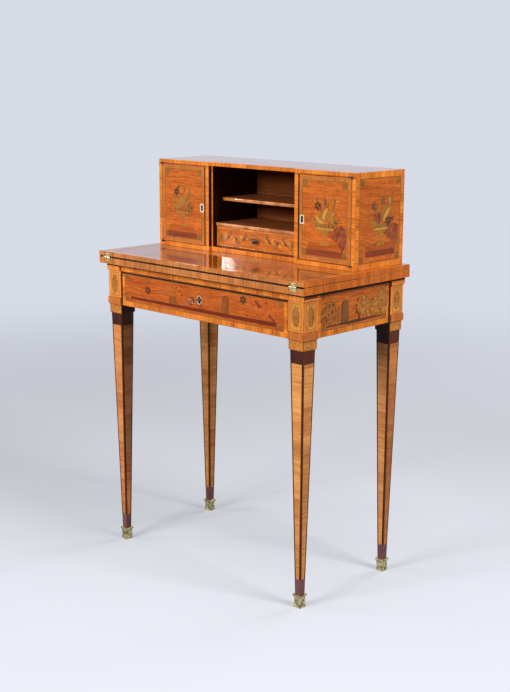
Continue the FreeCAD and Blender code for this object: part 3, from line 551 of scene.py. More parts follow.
# nodes that keep their CAD mesh
paintedNodes = (
    (wood("plain"), "frieze_drawer_back frieze_drawer_bottom small_drawer_back small_drawer_bottom"),
    (wood("plain", "Y"), "drawer_runners drawer_guides drawer_kickers frieze_drawer_left_side"),
    (wood("plain", "Y"), "frieze_drawer_right_side small_drawer_left_side small_drawer_right_side"),
    (wood("inside"), "cabinet_back"),
    (finishes["brass"], "leaf_hinge_pins leaf_hinge_lower_screws leaf_hinge_upper_screws drawer_lock_case"),
    (finishes["brass"], "left_door_lock right_door_lock"),
    (finishes["iron"], "cabinet_pivot_plates left_door_pivot_plates right_door_pivot_plates"),
    (finishes["steel"], "wood_screws drawer_lock_bolt left_door_bolt right_door_bolt"),
    (finishes["leather"], "lower_leather leaf_leather"))
for mat, names in paintedNodes:
    for name in names.split():
        nodes[name].data.materials.clear()
        nodes[name].data.materials.append(mat)
print("nodes dressed")

# thin inlays on a flat face; u runs right and v up as seen from outside, in millimetres

inlay = dict(sunk=0.04, step=0.005)      # depth below the face, and rise of each inlay over the one before
leafShape = dict(pinch=0.55, half=0.47, shares=(0.02, 0.15, 0.35, 0.55, 0.75, 0.9, 0.98))
faces = dict(front=((1, 0, 0), (0, 0, 1)), right=((0, 1, 0), (0, 0, 1)), back=((-1, 0, 0), (0, 0, 1)),
             left=((0, -1, 0), (0, 0, 1)), top=((1, 0, 0), (0, 1, 0)))      # directions of u and v


# outward x and y of an upright face
def outOf(face):
    across = faces[face][0]
    return across[1], -across[0]


# lower left corner of one face of a box
def cornerOf(span, face):
    low, high = span
    return Vector(dict(front=low, right=(high.x, low.y, low.z), back=(high.x, high.y, low.z),
                       left=(low.x, high.y, low.z), top=(low.x, low.y, high.z))[face])


def startSheet(name, body, origin, face, level, slot="veneered_wood"):
    across, up = (Vector(c) for c in face)
    place = Matrix((across, up, across.cross(up))).transposed().to_4x4()
    place.translation = Vector(origin) * mm
    return dict(name=name, body=body, bm=bmesh.new(), place=place, mats=[], slot=slot,
                level=level - inlay["step"])


# a sheet over one face of a box, with the face's size
def faceSheet(name, body, span, face, level):
    low, high = span
    width = high.y - low.y if face in sides else high.x - low.x
    tall = high.y - low.y if face == "top" else high.z - low.z
    return startSheet(name, body, cornerOf(span, face), faces[face], level), width, tall


# the next inlay lies at this level or higher
def liftSheet(sheet, level):
    sheet["level"] = max(sheet["level"], level - inlay["step"])


def facesAt(verts):
    return list({f for vert in verts for f in vert.link_faces})


def setInlay(sheet, flat, mat):
    bm = sheet["bm"]
    if mat not in sheet["mats"]:
        sheet["mats"].append(mat)
    sheet["level"] += inlay["step"]
    grown = bmesh.ops.extrude_face_region(bm, geom=flat, use_keep_orig=True)["geom"]
    rims = [g for g in grown if isinstance(g, bmesh.types.BMVert)]
    bmesh.ops.translate(bm, verts=rims, vec=sheet["place"].to_3x3() @ Vector((0, 0, sheet["level"] * mm)))
    for face in set(flat) | set(facesAt(rims)):
        face.material_index = sheet["mats"].index(mat)


def toPlace(sheet, u, v, angle=0.0, su=1.0, sv=1.0):
    spot = Matrix.Translation((u * mm, v * mm, -inlay["sunk"] * mm))
    local = spot @ Matrix.Rotation(math.radians(angle), 4, "Z")
    return sheet["place"] @ local @ Matrix.Diagonal((su * mm, sv * mm, 1.0, 1.0))


def layDisc(sheet, u, v, ru, rv, mat, segments=20):
    made = bmesh.ops.create_circle(sheet["bm"], cap_ends=True, segments=segments, radius=1.0,
                                   matrix=toPlace(sheet, u, v, 0, ru, rv))
    setInlay(sheet, facesAt(made["verts"]), mat)


def layStar(sheet, u, v, radius, petals, mat, waist=0.42):
    verts = bmesh.ops.create_circle(sheet["bm"], cap_ends=True, segments=petals * 4, radius=1.0)["verts"]
    for index, vert in enumerate(verts):
        vert.co *= (1.0, 0.86, waist, 0.86)[index % 4]
    bmesh.ops.transform(sheet["bm"], matrix=toPlace(sheet, u, v, 0, radius, radius), verts=verts)
    setInlay(sheet, facesAt(verts), mat)


def layLeaf(sheet, u, v, length, width, angle, mat):
    verts = bmesh.ops.create_circle(sheet["bm"], cap_ends=True, segments=14, radius=1.0)["verts"]
    quarter = Matrix.Rotation(math.radians(90), 3, "Z")
    bmesh.ops.rotate(sheet["bm"], verts=verts, cent=(0, 0, 0), matrix=quarter)
    for vert in verts:      # pinch the tip and the foot
        vert.co.y *= 1.0 - leafShape["pinch"] * vert.co.x * vert.co.x
        vert.co.x = vert.co.x * 0.5 + 0.5
    bmesh.ops.transform(sheet["bm"], matrix=toPlace(sheet, u, v, angle, length, width * 0.5), verts=verts)
    setInlay(sheet, facesAt(verts), mat)


def layPatch(sheet, points, mat):
    bm = sheet["bm"]
    spot = toPlace(sheet, 0, 0)
    face = bm.faces.new([bm.verts.new(spot @ Vector((u, v, 0))) for u, v in points])
    face.normal_update()
    if face.normal.dot(sheet["place"].to_3x3() @ Vector((0, 0, 1))) < 0:
        face.normal_flip()
    setInlay(sheet, [face], mat)


def laySlab(sheet, u0, v0, u1, v1, mat):
    layPatch(sheet, [(u0, v0), (u1, v0), (u1, v1), (u0, v1)], mat)


# a leaf with one half in a darker tone
def layShadedLeaf(sheet, u, v, length, width, angle, tones):
    layLeaf(sheet, u, v, length, width, angle, wood(tones[0], "Z"))
    half = [(0, 0)]
    for share in leafShape["shares"]:
        x = 2 * share - 1
        bulge = math.sqrt(1 - x * x) * (1 - leafShape["pinch"] * x * x)
        half.append((share * length, -leafShape["half"] * width * bulge))
    lean = Matrix.Rotation(math.radians(angle), 2)
    spots = [lean @ Vector(c) for c in half + [(length, 0)]]
    layPatch(sheet, [(u + c.x, v + c.y) for c in spots], wood(tones[1], "Z"))


def layRing(sheet, u, v, outer, inner, mat, segments=28):
    bm = sheet["bm"]
    loops = []
    for ru, rv in (outer, inner):
        made = bmesh.ops.create_circle(bm, cap_ends=False, segments=segments, radius=1.0,
                                       matrix=toPlace(sheet, u, v, 0, ru, rv))
        loops += list({e for vert in made["verts"] for e in vert.link_edges})
    setInlay(sheet, bmesh.ops.bridge_loops(bm, edges=loops)["faces"], mat)


def layStem(sheet, points, width, mat):
    left, right = [], []
    for index, (u, v) in enumerate(points):
        before, after = points[max(index - 1, 0)], points[min(index + 1, len(points) - 1)]
        run = Vector((after[0] - before[0], after[1] - before[1])).normalized() * width * 0.5
        left.append((u - run.y, v + run.x))
        right.append((u + run.y, v - run.x))
    layPatch(sheet, right + left[::-1], mat)


# boxes on a face are left, low, right and high
def inset(box, width):
    return box[0] + width, box[1] + width, box[2] - width, box[3] - width


def layBorder(sheet, outer, inner, flatMat, uprightMat):
    u0, v0, u1, v1 = outer
    i0, j0, i1, j1 = inner
    layPatch(sheet, [(u0, v0), (u1, v0), (i1, j0), (i0, j0)], flatMat)
    layPatch(sheet, [(u1, v1), (u0, v1), (i0, j1), (i1, j1)], flatMat)
    layPatch(sheet, [(u0, v1), (u0, v0), (i0, j0), (i0, j1)], uprightMat)
    layPatch(sheet, [(u1, v0), (u1, v1), (i1, j1), (i1, j0)], uprightMat)


def layFrame(sheet, box, width, flatMat, uprightMat):
    layBorder(sheet, box, inset(box, width), flatMat, uprightMat)


def layCorners(sheet, box, size, mat):
    u0, v0, u1, v1 = box
    wide, high = size
    for a, b in ((u0, u0 + wide), (u1 - wide, u1)):
        for c, d in ((v0, v0 + high), (v1 - high, v1)):
            laySlab(sheet, a, c, b, d, mat)


def closeSheet(sheet):
    bm = sheet["bm"]
    bmesh.ops.remove_doubles(bm, verts=bm.verts, dist=1e-8)
    bmesh.ops.recalc_face_normals(bm, faces=bm.faces)
    piece = makeObject(sheet["name"], bm, sheet["mats"])
    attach(piece, sheet["body"])
    return piece


# light fields of the leg's shaft, and a panel with an oval on the post's two outward faces

# the front right leg keeps the plain field; the other legs take darker copies of it as painted shade
legTones = dict(leg_front_left="legFieldLeft", leg_front_right="legField", leg_back_left="legFieldBack",
                leg_back_right="legFieldRear")
postPanel = dict(level=687.5, box=(-15.5, -30.0, 15.5, 30.0), line=0.9, oval=(11.2, 22.8), ring=0.7)


def shaftHalf(level):
    rise = (level - legField["footLevel"]) / (legLevels["neck"] - legField["footLevel"])
    return legField["footHalf"] + (legField["neckHalf"] - legField["footHalf"]) * rise


def dressLeg(node):
    end, side = node.split("_")[1:]
    low, high = spanOf(node)
    cx = high.x - legField["axis"] if side == "right" else low.x + legField["axis"]
    cy = low.y + legField["axis"] if end == "front" else high.y - legField["axis"]
    lo, hi, edge = legField["low"], legField["high"], legField["edge"]
    hl, hh = shaftHalf(lo), shaftHalf(hi)
    lean = (hh - hl) / (hi - lo)
    tall = (hi - lo) * math.sqrt(1 + lean * lean)
    for face in ("front", "right", "back", "left"):
        outX, outY = outOf(face)
        up = Vector((outX * lean, outY * lean, 1.0)).normalized()
        sheet = startSheet(f"{node}_{face}_field", "desk", (cx + outX * hl, cy + outY * hl, lo),
                           (faces[face][0], up), 0.2, "banded_wood")
        axis = "Y" if face in sides else "X"
        # the back right leg's front face takes the lighter copy of its field: painted light where the desk's
        # shade falls
        tone = "legFieldRight" if (node, face) == ("leg_back_right", "front") else legTones[node]
        field = [(-hl + edge, 0), (hl - edge, 0), (hh - edge, tall), (-hh + edge, tall)]
        layPatch(sheet, field, wood(tone, axis))
        laySlab(sheet, -hl + edge, -legField["rose"], hl - edge, 0,
                wood("rose" if node == "leg_front_right" else tone, axis))
        closeSheet(sheet)
    for label, face in (("end", end), ("side", side)):
        outX, outY = outOf(face)
        spot = (cx + outX * legField["post"], cy + outY * legField["post"], postPanel["level"])
        sheet = startSheet(f"{node}_{label}_panel", "desk", spot, faces[face], 0.12, "banded_wood")
        layFrame(sheet, postPanel["box"], postPanel["line"], wood("olive", "Z"), wood("olive", "Z"))
        laySlab(sheet, *inset(postPanel["box"], postPanel["line"]), wood("burr", "Z"))
        ru, rv = postPanel["oval"]
        layDisc(sheet, 0, 0, ru, rv, wood("olive", "Z"), 28)
        liftSheet(sheet, 0.16)
        layDisc(sheet, 0, 0, ru - postPanel["ring"], rv - postPanel["ring"], wood("fleck"), 28)
        closeSheet(sheet)


for node in legs:
    dressLeg(node)
print("legs dressed")

# urn with flowers on a plinth; the size is set by its scale and the flowers by their own list

urnShapes = dict(
    shade=[(12, 46), (24, 52), (36, 62), (48, 66), (64, 60), (67, 36), (62, 18), (55, 3), (46, 14),
           (36, 26), (20, 34)],
    slab=[(-46, 22), (42, 22), (54, 4), (-54, 4)],
    plinth=[(-54, 5), (54, 5), (54, -9), (-54, -9)],
    foot=[(-14, 16), (14, 16), (12, 21), (5, 24), (3.2, 34), (5.5, 45), (-5.5, 45), (-3.2, 34),
          (-5, 24), (-12, 21)],
    bowl=[(-8, 43), (8, 43), (20, 47), (28, 54), (33, 64), (36, 80), (33, 80), (27, 71), (14, 67), (0, 66),
          (-14, 67), (-27, 71), (-33, 80), (-36, 80), (-33, 64), (-28, 54), (-20, 47)],
    dark=[(8, 43), (20, 47), (28, 54), (33, 64), (36, 80), (33, 80), (27, 68), (18, 56)],
    rim=[(-26, 53), (26, 53), (28, 56), (-28, 56)],
    handle=[(33, 64), (41, 70), (44, 80), (39, 88)])
urnLevels = dict(dark=0.27, rim=0.28, flutes=0.30)
fluteLay = dict(count=9, start=-24, step=6, foot=56, length=11, width=2.6, lean=0.5)
stemWide = dict(handle=1.8, twig=1.3)
leafRim = dict(length=0.8, width=1.4)      # how far a leaf's dark rim reaches past it
# short names of the tones that motifs share, and the darker half of each leaf
light, green, grey, pale = "lightLeaf", "greenLeaf", "greyMotif", "paleMotif"
dark, shade, dim, rust, brown = "darkMotif", "shade", "archGrey", "redBrown", "brownMotif"
darker = {light: green, green: "olive", shade: rust, grey: dim, pale: green}


def layUrn(sheet, u, v, s, spec, turn=1):
    def at(points, side=1):
        return [(u + s * a * side * turn, v + s * b) for a, b in points]

    body, rim = spec["urn"]
    if spec["shade"]:
        layPatch(sheet, at(urnShapes["shade"]), wood("shade", "D"))
    for name, tone, axis in (("slab", "slab", "X"), ("plinth", rust, "X"), ("foot", body, "Z"),
                             ("bowl", body, "X"), ("dark", "olive", "X"), ("rim", rim, "X")):
        liftSheet(sheet, urnLevels.get(name, 0.0))
        layPatch(sheet, at(urnShapes[name]), wood(tone, axis))
    liftSheet(sheet, urnLevels["flutes"])
    for index in range(fluteLay["count"]):
        a = fluteLay["start"] + index * fluteLay["step"]
        layLeaf(sheet, u + s * a * turn, v + s * fluteLay["foot"], s * fluteLay["length"],
                s * fluteLay["width"], 90 - a * fluteLay["lean"] * turn,
                wood("olive" if index % 2 else dark, "Z"))
    for side in (-1, 1):
        layStem(sheet, at(urnShapes["handle"], side), s * stemWide["handle"], wood("olive", "Z"))
    for points in spec["twigs"]:
        layStem(sheet, at(points), s * stemWide["twig"], wood("olive", "Z"))
    for a, b, length, width, angle, tone in spec["leaves"]:
        angle = angle if turn > 0 else 180 - angle
        spot = (u + s * a * turn, v + s * b)
        rimSize = (s * length + leafRim["length"], s * width + leafRim["width"])
        layLeaf(sheet, *spot, *rimSize, angle, wood("olive", "Z"))
        layShadedLeaf(sheet, *spot, s * length, s * width, angle, (tone, darker[tone]))
    for a, b, radius, petals, tone in spec["flowers"]:
        spot = (u + s * a * turn, v + s * b)
        eye = s * radius * 0.22
        layStar(sheet, *spot, s * radius, petals, wood(tone, "Z"), 0.55)
        layDisc(sheet, *spot, eye, eye, wood("olive", "Z"), 10)


# leaves: foot, length, width, lean and tone; flowers: middle, radius, petals and tone
bouquets = dict(
    left=dict(
        shade=False, urn=(pale, green),
        twigs=[[(-4, 70), (-14, 92), (-21, 107)], [(0, 70), (2, 98), (10, 124)],
               [(8, 70), (18, 98), (28, 116)], [(-8, 70), (-24, 86), (-36, 92)]],
        leaves=[(-8, 67, 28, 11, 158, green), (12, 67, 26, 11, 22, green), (-2, 68, 27, 15, 136, pale),
                (0, 70, 34, 15, 100, pale), (4, 70, 38, 17, 62, green), (10, 69, 28, 12, 40, green),
                (4, 104, 20, 8, 66, green), (8, 108, 16, 6, 110, green), (18, 98, 18, 7, 40, green),
                (-24, 86, 14, 6, 120, green), (-10, 94, 12, 5, 60, green), (26, 110, 12, 5, 80, green)],
        flowers=[(-21, 107, 11, 6, dark), (-13, 119, 4.5, 5, dark), (31, 76, 7, 6, shade),
                 (36, 68, 4, 5, dark)]),
    right=dict(
        shade=True, urn=(green, light),
        twigs=[[(-4, 70), (-12, 92), (-20, 107)], [(0, 70), (0, 96), (1, 108)],
               [(10, 70), (20, 94), (32, 118), (42, 126)], [(20, 94), (30, 106), (32, 124)],
               [(-14, 96), (-26, 112), (-34, 122)]],
        leaves=[(-8, 67, 28, 11, 162, green), (12, 67, 27, 12, 16, green), (-4, 72, 28, 13, 100, green),
                (10, 68, 36, 15, 50, green), (-3, 70, 36, 18, 68, light), (-1, 68, 31, 18, 148, light),
                (1, 106, 22, 11, 94, grey), (4, 104, 16, 7, 50, green), (22, 98, 16, 7, 72, green),
                (30, 114, 14, 6, 110, green), (34, 118, 12, 5, 20, light), (-24, 112, 13, 5, 130, light),
                (-28, 114, 12, 5, 70, green), (28, 84, 14, 7, 60, green)],
        flowers=[(-20, 106, 11.5, 6, dark), (-12, 101, 6, 5, shade), (24, 76, 7, 6, green),
                 (34, 72, 4, 5, dark)]),
    cabinetSide=dict(
        shade=True, urn=(green, light),
        twigs=[[(-4, 70), (-14, 92), (-24, 108)], [(0, 70), (3, 98), (7, 120)],
               [(8, 70), (26, 98), (34, 120), (38, 138)], [(20, 90), (38, 104), (50, 112)]],
        leaves=[(-6, 67, 32, 13, 160, green), (-2, 67, 33, 18, 138, shade), (-3, 68, 28, 14, 106, shade),
                (4, 70, 30, 13, 84, green), (14, 70, 32, 12, 16, green), (8, 72, 46, 20, 44, light),
                (8, 84, 30, 11, 66, green), (30, 108, 22, 9, 74, light), (40, 102, 20, 8, 84, green),
                (22, 96, 18, 7, 110, green), (34, 122, 16, 7, 60, green), (-10, 92, 14, 6, 70, green)],
        flowers=[(-24, 108, 12, 6, dim), (7, 121, 9, 5, dim), (28, 72, 12, 6, dark), (44, 76, 6, 5, dark)]))

# doors

doorLay = dict(rim=0.6, fillet=1.6, crown=1.8, hungLine=1.0, lockGapShade=2.4, line=3.0, edge=11.5, string=1.7,
               corner=(13.0, 14.0), urnLow=23.0, urnShift=dict(left=-4.5, right=0.5))


def dressDoor(side):
    span = spanOf(side + "_door")
    sheet, width, tall = faceSheet(side + "_door_marquetry", "door_" + side, span, "front", 0.10)
    whole = (0, 0, width, tall)
    rim, fillet, line, edge, string = (doorLay[k] for k in ("rim", "fillet", "line", "edge", "string"))
    locked, hung = (rim, width - fillet) if side == "right" else (width - line, rim)
    ends = wood("gapAndShade" if side == "right" else dark)
    laySlab(sheet, rim, rim, width - rim, fillet, ends)
    laySlab(sheet, rim, tall - doorLay["crown"], width - rim, tall - rim, ends)
    laySlab(sheet, hung, fillet, hung + doorLay["hungLine"], tall - fillet, wood("olive", "Z"))
    liftSheet(sheet, 0.12)
    layFrame(sheet, inset(whole, fillet), line - fillet, wood("band"), wood("band", "Z"))
    layFrame(sheet, inset(whole, line), edge - line, wood("doorBand", "Z"), wood("doorBand"))
    liftSheet(sheet, 0.2)
    layFrame(sheet, inset(whole, edge), string, wood("olive"), wood("olive", "Z"))
    # the lock side's nearly black line is the dark joint widened with painted shade cast by the partition
    laySlab(sheet, locked, fillet, locked + doorLay["lockGapShade"], tall - fillet, wood("gapAndShade", "Z"))
    layCorners(sheet, inset(whole, edge + string), doorLay["corner"], wood("olive"))
    layUrn(sheet, width * 0.5 + doorLay["urnShift"][side], doorLay["urnLow"], 1.0, bouquets[side])
    closeSheet(sheet)


keyPlate = dict(half=6.4, high=10.8, nip=2.2, slotHalf=3.3, slotHigh=7.6, eyeDrop=3, eye=3.6)


def makeKeyPlate(side):
    low, high = spanOf(side + "_door_escutcheon")
    centre = (low + high) / 2
    centre.y = spanOf(side + "_door")[0].y
    sheet = startSheet(side + "_door_key_plate", "door_" + side, centre, faces["front"], 0.5, "bone")
    half, high, nip = keyPlate["half"], keyPlate["high"], keyPlate["nip"]
    layPatch(sheet, [(-half + nip, -high), (half - nip, -high), (half, -high + nip), (half, high - nip),
                     (half - nip, high), (-half + nip, high), (-half, high - nip), (-half, -high + nip)],
             finishes["bone"])
    slot, eye = keyPlate["slotHalf"], keyPlate["eye"]
    eyeLevel = keyPlate["slotHigh"] - keyPlate["eyeDrop"]
    liftSheet(sheet, 0.54)
    laySlab(sheet, -slot, -keyPlate["slotHigh"], slot, eyeLevel, wood("gapAndShade", "Z"))
    layDisc(sheet, 0, eyeLevel, eye, eye, wood("gapAndShade"), 16)
    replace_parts(closeSheet(sheet), side + "_door_escutcheon")


for side in sides:
    dressDoor(side)
    makeKeyPlate(side)

# cabinet sides, veneered over the board ends

sideLay = dict(rim=1.0, border=14.0, string=1.8, corner=(14.0, 15.0), urnShift=3, urnLow=37.0, urnScale=0.98)


def dressCabinetSide(side):
    low, high = spanOf("cabinet_" + side + "_side")
    low.z, high.z = spanOf("cabinet_bottom")[0].z, spanOf("cabinet_top")[1].z
    sheet, width, tall = faceSheet("cabinet_" + side + "_marquetry", "desk", (low, high), side, 0.16)
    whole = (0, 0, width, tall)
    rim, border, string = sideLay["rim"], sideLay["border"], sideLay["string"]
    layFrame(sheet, inset(whole, rim), border - rim, wood("band", "Z"), wood("band", "Y"))
    liftSheet(sheet, 0.22)
    layFrame(sheet, inset(whole, border), string, wood("olive", "Y"), wood("olive", "Z"))
    layCorners(sheet, inset(whole, border + string), sideLay["corner"], wood("olive", "Y"))
    turn = 1 if side == "right" else -1
    layUrn(sheet, width * 0.5 + turn * sideLay["urnShift"], sideLay["urnLow"], sideLay["urnScale"],
           bouquets["cabinetSide"], turn)
    closeSheet(sheet)


for side in sides:
    dressCabinetSide(side)
print("cabinet marquetry laid")

# frieze drawer and aprons

friezeLay = dict(rim=1, border=13.0, top=5.0, string=1.8, corner=(13.0, 11.0))
archLay = dict(trim=0.9, step=15)
rosetteLay = dict(petals=6, waist=0.66, eye=0.25)
foliageLay = dict(spread=0.46, spiral=2.39996, length=7.0, width=3.8, twist=75)


def layFriezeGround(sheet, width, tall, grain):
    whole = (0, 0, width, tall)
    border, string = friezeLay["border"], friezeLay["string"]
    inner = (border, border, width - border, tall - friezeLay["top"])
    layBorder(sheet, inset(whole, friezeLay["rim"]), inner, wood("band", "Z"), wood("band", grain))
    liftSheet(sheet, 0.22)
    layFrame(sheet, inner, string, wood("olive", grain), wood("olive", "Z"))
    layCorners(sheet, inset(inner, string), friezeLay["corner"], wood("olive", grain))


def layArch(sheet, u, v, wide, tall, tone):
    angles = [math.radians(archLay["step"] * k) for k in range(180 // archLay["step"] + 1)]
    for trim, name in ((0.0, dark), (archLay["trim"], tone)):
        half = wide / 2 - trim
        crown = [(u + half * math.cos(a), v + tall - wide / 2 + half * math.sin(a)) for a in angles]
        layPatch(sheet, [(u - half, v), (u + half, v)] + crown, wood(name, "Z"))


def layRosette(sheet, u, v, radius, tone):
    eye = radius * rosetteLay["eye"]
    layStar(sheet, u, v, radius, rosetteLay["petals"], wood(tone, "Z"), rosetteLay["waist"])
    layDisc(sheet, u, v, eye, eye, wood("olive", "Z"), 10)


def layFoliage(sheet, u, v, wide, tall, base, tones, count=26):
    layDisc(sheet, u, v + tall / 2, wide / 2, tall / 2, wood(base, "Z"), 22)
    for k in range(count):      # leaves on a sunflower spiral
        reach, turn = foliageLay["spread"] * math.sqrt((k + 0.5) / count), k * foliageLay["spiral"]
        spot = (u + wide * reach * math.cos(turn), v + tall * (0.5 + reach * math.sin(turn)))
        layLeaf(sheet, *spot, foliageLay["length"], foliageLay["width"], k * foliageLay["twist"],
                wood(tones[k % len(tones)], "Z"))


# places on the drawer's front, across from its middle and up from its low edge
friezeMotifs = dict(
    patches=(("redLine", "X", [(-249, 20.8), (249, 20.2), (249, 29.8), (-249, 27.6)]),
             (brown, "Z", [(-107, 27.5), (-83, 28), (-82, 47), (-108, 46)]),      # planter
             (rust, "X", [(181, 71), (187, 71), (246, 34), (242, 29)]),           # crossed planks
             ("friezeGround", "D", [(181, 40), (187, 50), (221, 72), (237, 59), (214, 33), (197, 32)]),
             (rust, "X", [(181, 70), (187, 71), (202, 61), (193, 55)]),
             (rust, "X", [(210, 67), (215, 73), (224, 75), (216, 69)])),
    shrub=(-98, 47, 31, 21, "ground", (pale, "ground", brown), 14), arch=(86.5, 29.5, 23, 42, brown),
    rosettes=((-184, 50, 11, "redLine"), (144, 68.5, 11.4, dark)),
    dots=((-80, 70), (-81, 33), (-68, 63), (-61, 54), (157, 34)), dot=2.2)
# the dark joints round the drawer's front are widened with painted shade under the overhanging rail and
# beside the proud left post
drawerGapShade = dict(rim=0.7, top=4.7, left=3.4, right=2.0)      # dark joints round the drawer's front


def dressFriezeDrawer():
    span = spanOf("frieze_drawer_front")
    sheet, width, tall = faceSheet("frieze_drawer_marquetry", "frieze_drawer", span, "front", 0.16)
    layFriezeGround(sheet, width, tall, "X")
    rim, right = drawerGapShade["rim"], drawerGapShade["right"]
    laySlab(sheet, rim, tall - drawerGapShade["top"], width - rim, tall - rim, wood("gapAndShade"))
    laySlab(sheet, rim, rim, drawerGapShade["left"], tall - right, wood("gapAndShade", "Z"))
    laySlab(sheet, width - right, rim, width - rim, tall - right, wood("gapAndShade", "Z"))
    mid = width / 2
    for tone, axis, points in friezeMotifs["patches"]:
        layPatch(sheet, [(mid + a, b) for a, b in points], wood(tone, axis))
    u, *shrub = friezeMotifs["shrub"]
    layFoliage(sheet, mid + u, *shrub)
    u, *arch = friezeMotifs["arch"]
    layArch(sheet, mid + u, *arch)
    for u, *rosette in friezeMotifs["rosettes"]:
        layRosette(sheet, mid + u, *rosette)
    for u, v in friezeMotifs["dots"]:
        layDisc(sheet, mid + u, v, friezeMotifs["dot"], friezeMotifs["dot"], wood("redLine", "Z"), 10)
    closeSheet(sheet)


dressFriezeDrawer()

drawerPlate = dict(disc=(6.5, 9.7), outer=(7.4, 10.6), inner=(5.8, 9.0), drop=1)


def makeDrawerPlate():
    low, high = spanOf("drawer_escutcheon")
    centre = ((low.x + high.x) / 2, spanOf("frieze_drawer_front")[0].y, bowLay["level"] - drawerPlate["drop"])
    sheet = startSheet("drawer_key_plate", "frieze_drawer", centre, faces["front"], 0.05, "aged_brass")
    layDisc(sheet, 0, 0, *drawerPlate["disc"], wood("gapAndShade", "Z"), 24)
    liftSheet(sheet, 0.9)
    layRing(sheet, 0, 0, drawerPlate["outer"], drawerPlate["inner"], finishes["pale"])
    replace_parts(closeSheet(sheet), "drawer_escutcheon")


makeDrawerPlate()

# places along the apron are shares of its width; foliage: place, rise, width, height, base and leaf tones
apronLay = dict(
    base=25.0, ground=((0.12, 20), (0.5, 17.5), (0.88, 21.5), (0.88, 24.5), (0.5, 25.5), (0.12, 24)),
    foliage=((0.10, 0, 30, 42, "bush", (rust, green, brown, pale)),
             (0.17, 0, 40, 56, "bush", (dark, green, rust, pale)),
             (0.25, 0, 26, 38, "bush", (rust, pale, brown, green)),
             (0.68, 4, 30, 40, "paleBush", (pale, green, brown, light)),
             (0.80, 0, 36, 50, "paleBush", (light, green, pale)),
             (0.90, 0, 34, 66, "paleBush", (light, pale, green))),
    arch=(0.37, 24, 50), tree=0.57, trunk=((0, 0), (-3, 10), (2, 24)), trunkWide=4.2,
    twigs=((14, 150), (22, 110), (30, 160), (38, 100)), twigBack=5, twig=(11, 5),
    crown=(12, 9, 46, 44, "paleBush", (grey, green, pale, light)))


# the side apron as seen between its legs
def apronSpan(side):
    low, high = spanOf("side_apron_" + side)
    low.y, high.y = spanOf("leg_front_" + side)[1].y, spanOf("leg_back_" + side)[0].y
    return low, high


def dressApron(side):
    sheet, width, tall = faceSheet("apron_" + side + "_marquetry", "desk", apronSpan(side), side, 0.16)
    layFriezeGround(sheet, width, tall, "Y")
    base = apronLay["base"]
    flip = 1 if side == "right" else -1

    def spot(share):
        return width * (0.5 + flip * (share - 0.5))

    layPatch(sheet, [(spot(share), v) for share, v in apronLay["ground"]], wood(dark, "Y"))
    for share, rise, *foliage in apronLay["foliage"]:
        layFoliage(sheet, spot(share), base + rise, *foliage)
    share, wide, high = apronLay["arch"]
    layArch(sheet, spot(share), base, wide, high, dim)
    u = spot(apronLay["tree"])
    trunk = [(u + flip * a, base + b) for a, b in apronLay["trunk"]]
    layStem(sheet, trunk, apronLay["trunkWide"], wood(dark, "Z"))
    for rise, turn in apronLay["twigs"]:
        layLeaf(sheet, u - flip * apronLay["twigBack"], base + rise, *apronLay["twig"],
                turn if flip > 0 else 180 - turn, wood(dark, "Z"))
    shift, rise, *crown = apronLay["crown"]
    layFoliage(sheet, u + flip * shift, base + rise, *crown)
    closeSheet(sheet)


def dressBackApron():
    low, high = spanOf("back_apron")
    low.x = spanOf("leg_back_left")[1].x
    high.x = -low.x
    sheet, width, tall = faceSheet("apron_back_banding", "desk", (low, high), "back", 0.16)
    layFriezeGround(sheet, width, tall, "X")
    closeSheet(sheet)


for side in sides:
    dressApron(side)
dressBackApron()

# painted shadow under the overhanging top board, darker painted shade on the side of the front right post's
# cap, dark joints widened with painted shade at the aprons' back ends, and fine lines of painted shade where
# the collar meets the post and the neck

shadowLay = dict(rail=5.8, cap=6.0, capShade=12.0, capShadeEnd=4.0, apron=8.2, joint=3.8, top=0.6, legRim=0.9,
                 apronRim=0.2, apronFoot=0.5)
collarLay = dict(line=1.3, back=-4.1, play=0.1, lower=(1.4, 4.4), upper=(0.3, 3.3))      # both ends' margins
toward = dict(left=-1, right=1, front=-1, back=1)


def layLegShadowLines(node, label, face, other, board):
    low, high = spanOf(node)
    low.z = 0
    rim, cap = shadowLay["legRim"], shadowLay["cap"]
    sheet, width, _ = faceSheet(f"{node}_{label}_lines", "desk", (low, high), face, 0.05)
    # a nearly black strip just under the board: painted shadow of its overhang
    laySlab(sheet, rim, board - cap, width - rim, board - rim, wood("gapAndShade", "Z"))
    # the side of the front right post's cap is darker still, rust-coloured: painted shade under the board
    if (node, label) == ("leg_front_right", "side"):
        laySlab(sheet, rim, board - shadowLay["capShade"], width - shadowLay["capShadeEnd"], board - cap,
                wood(rust, "Y"))
    closeSheet(sheet)
    # fine purple lines just above and below the collar: painted shade in the creases
    corner = cornerOf((low, high), face) + Vector((*outOf(face), 0)) * collarLay["back"]
    sheet = startSheet(f"{node}_{label}_collar", "desk", corner, faces[face], 0.05)
    outerLast = toward[other] * sum(faces[face][0]) > 0
    line, play = collarLay["line"], collarLay["play"]
    for level, (inner, outer), rise in ((legLevels["frieze"] - line - play, collarLay["lower"], 0.05),
                                        (legLevels["collar"] + play, collarLay["upper"], 1.15)):
        start, end = (inner, width - outer) if outerLast else (outer, width - inner)
        liftSheet(sheet, rise)
        laySlab(sheet, start, level, end, level + line, wood("purple", "Z"))
    closeSheet(sheet)


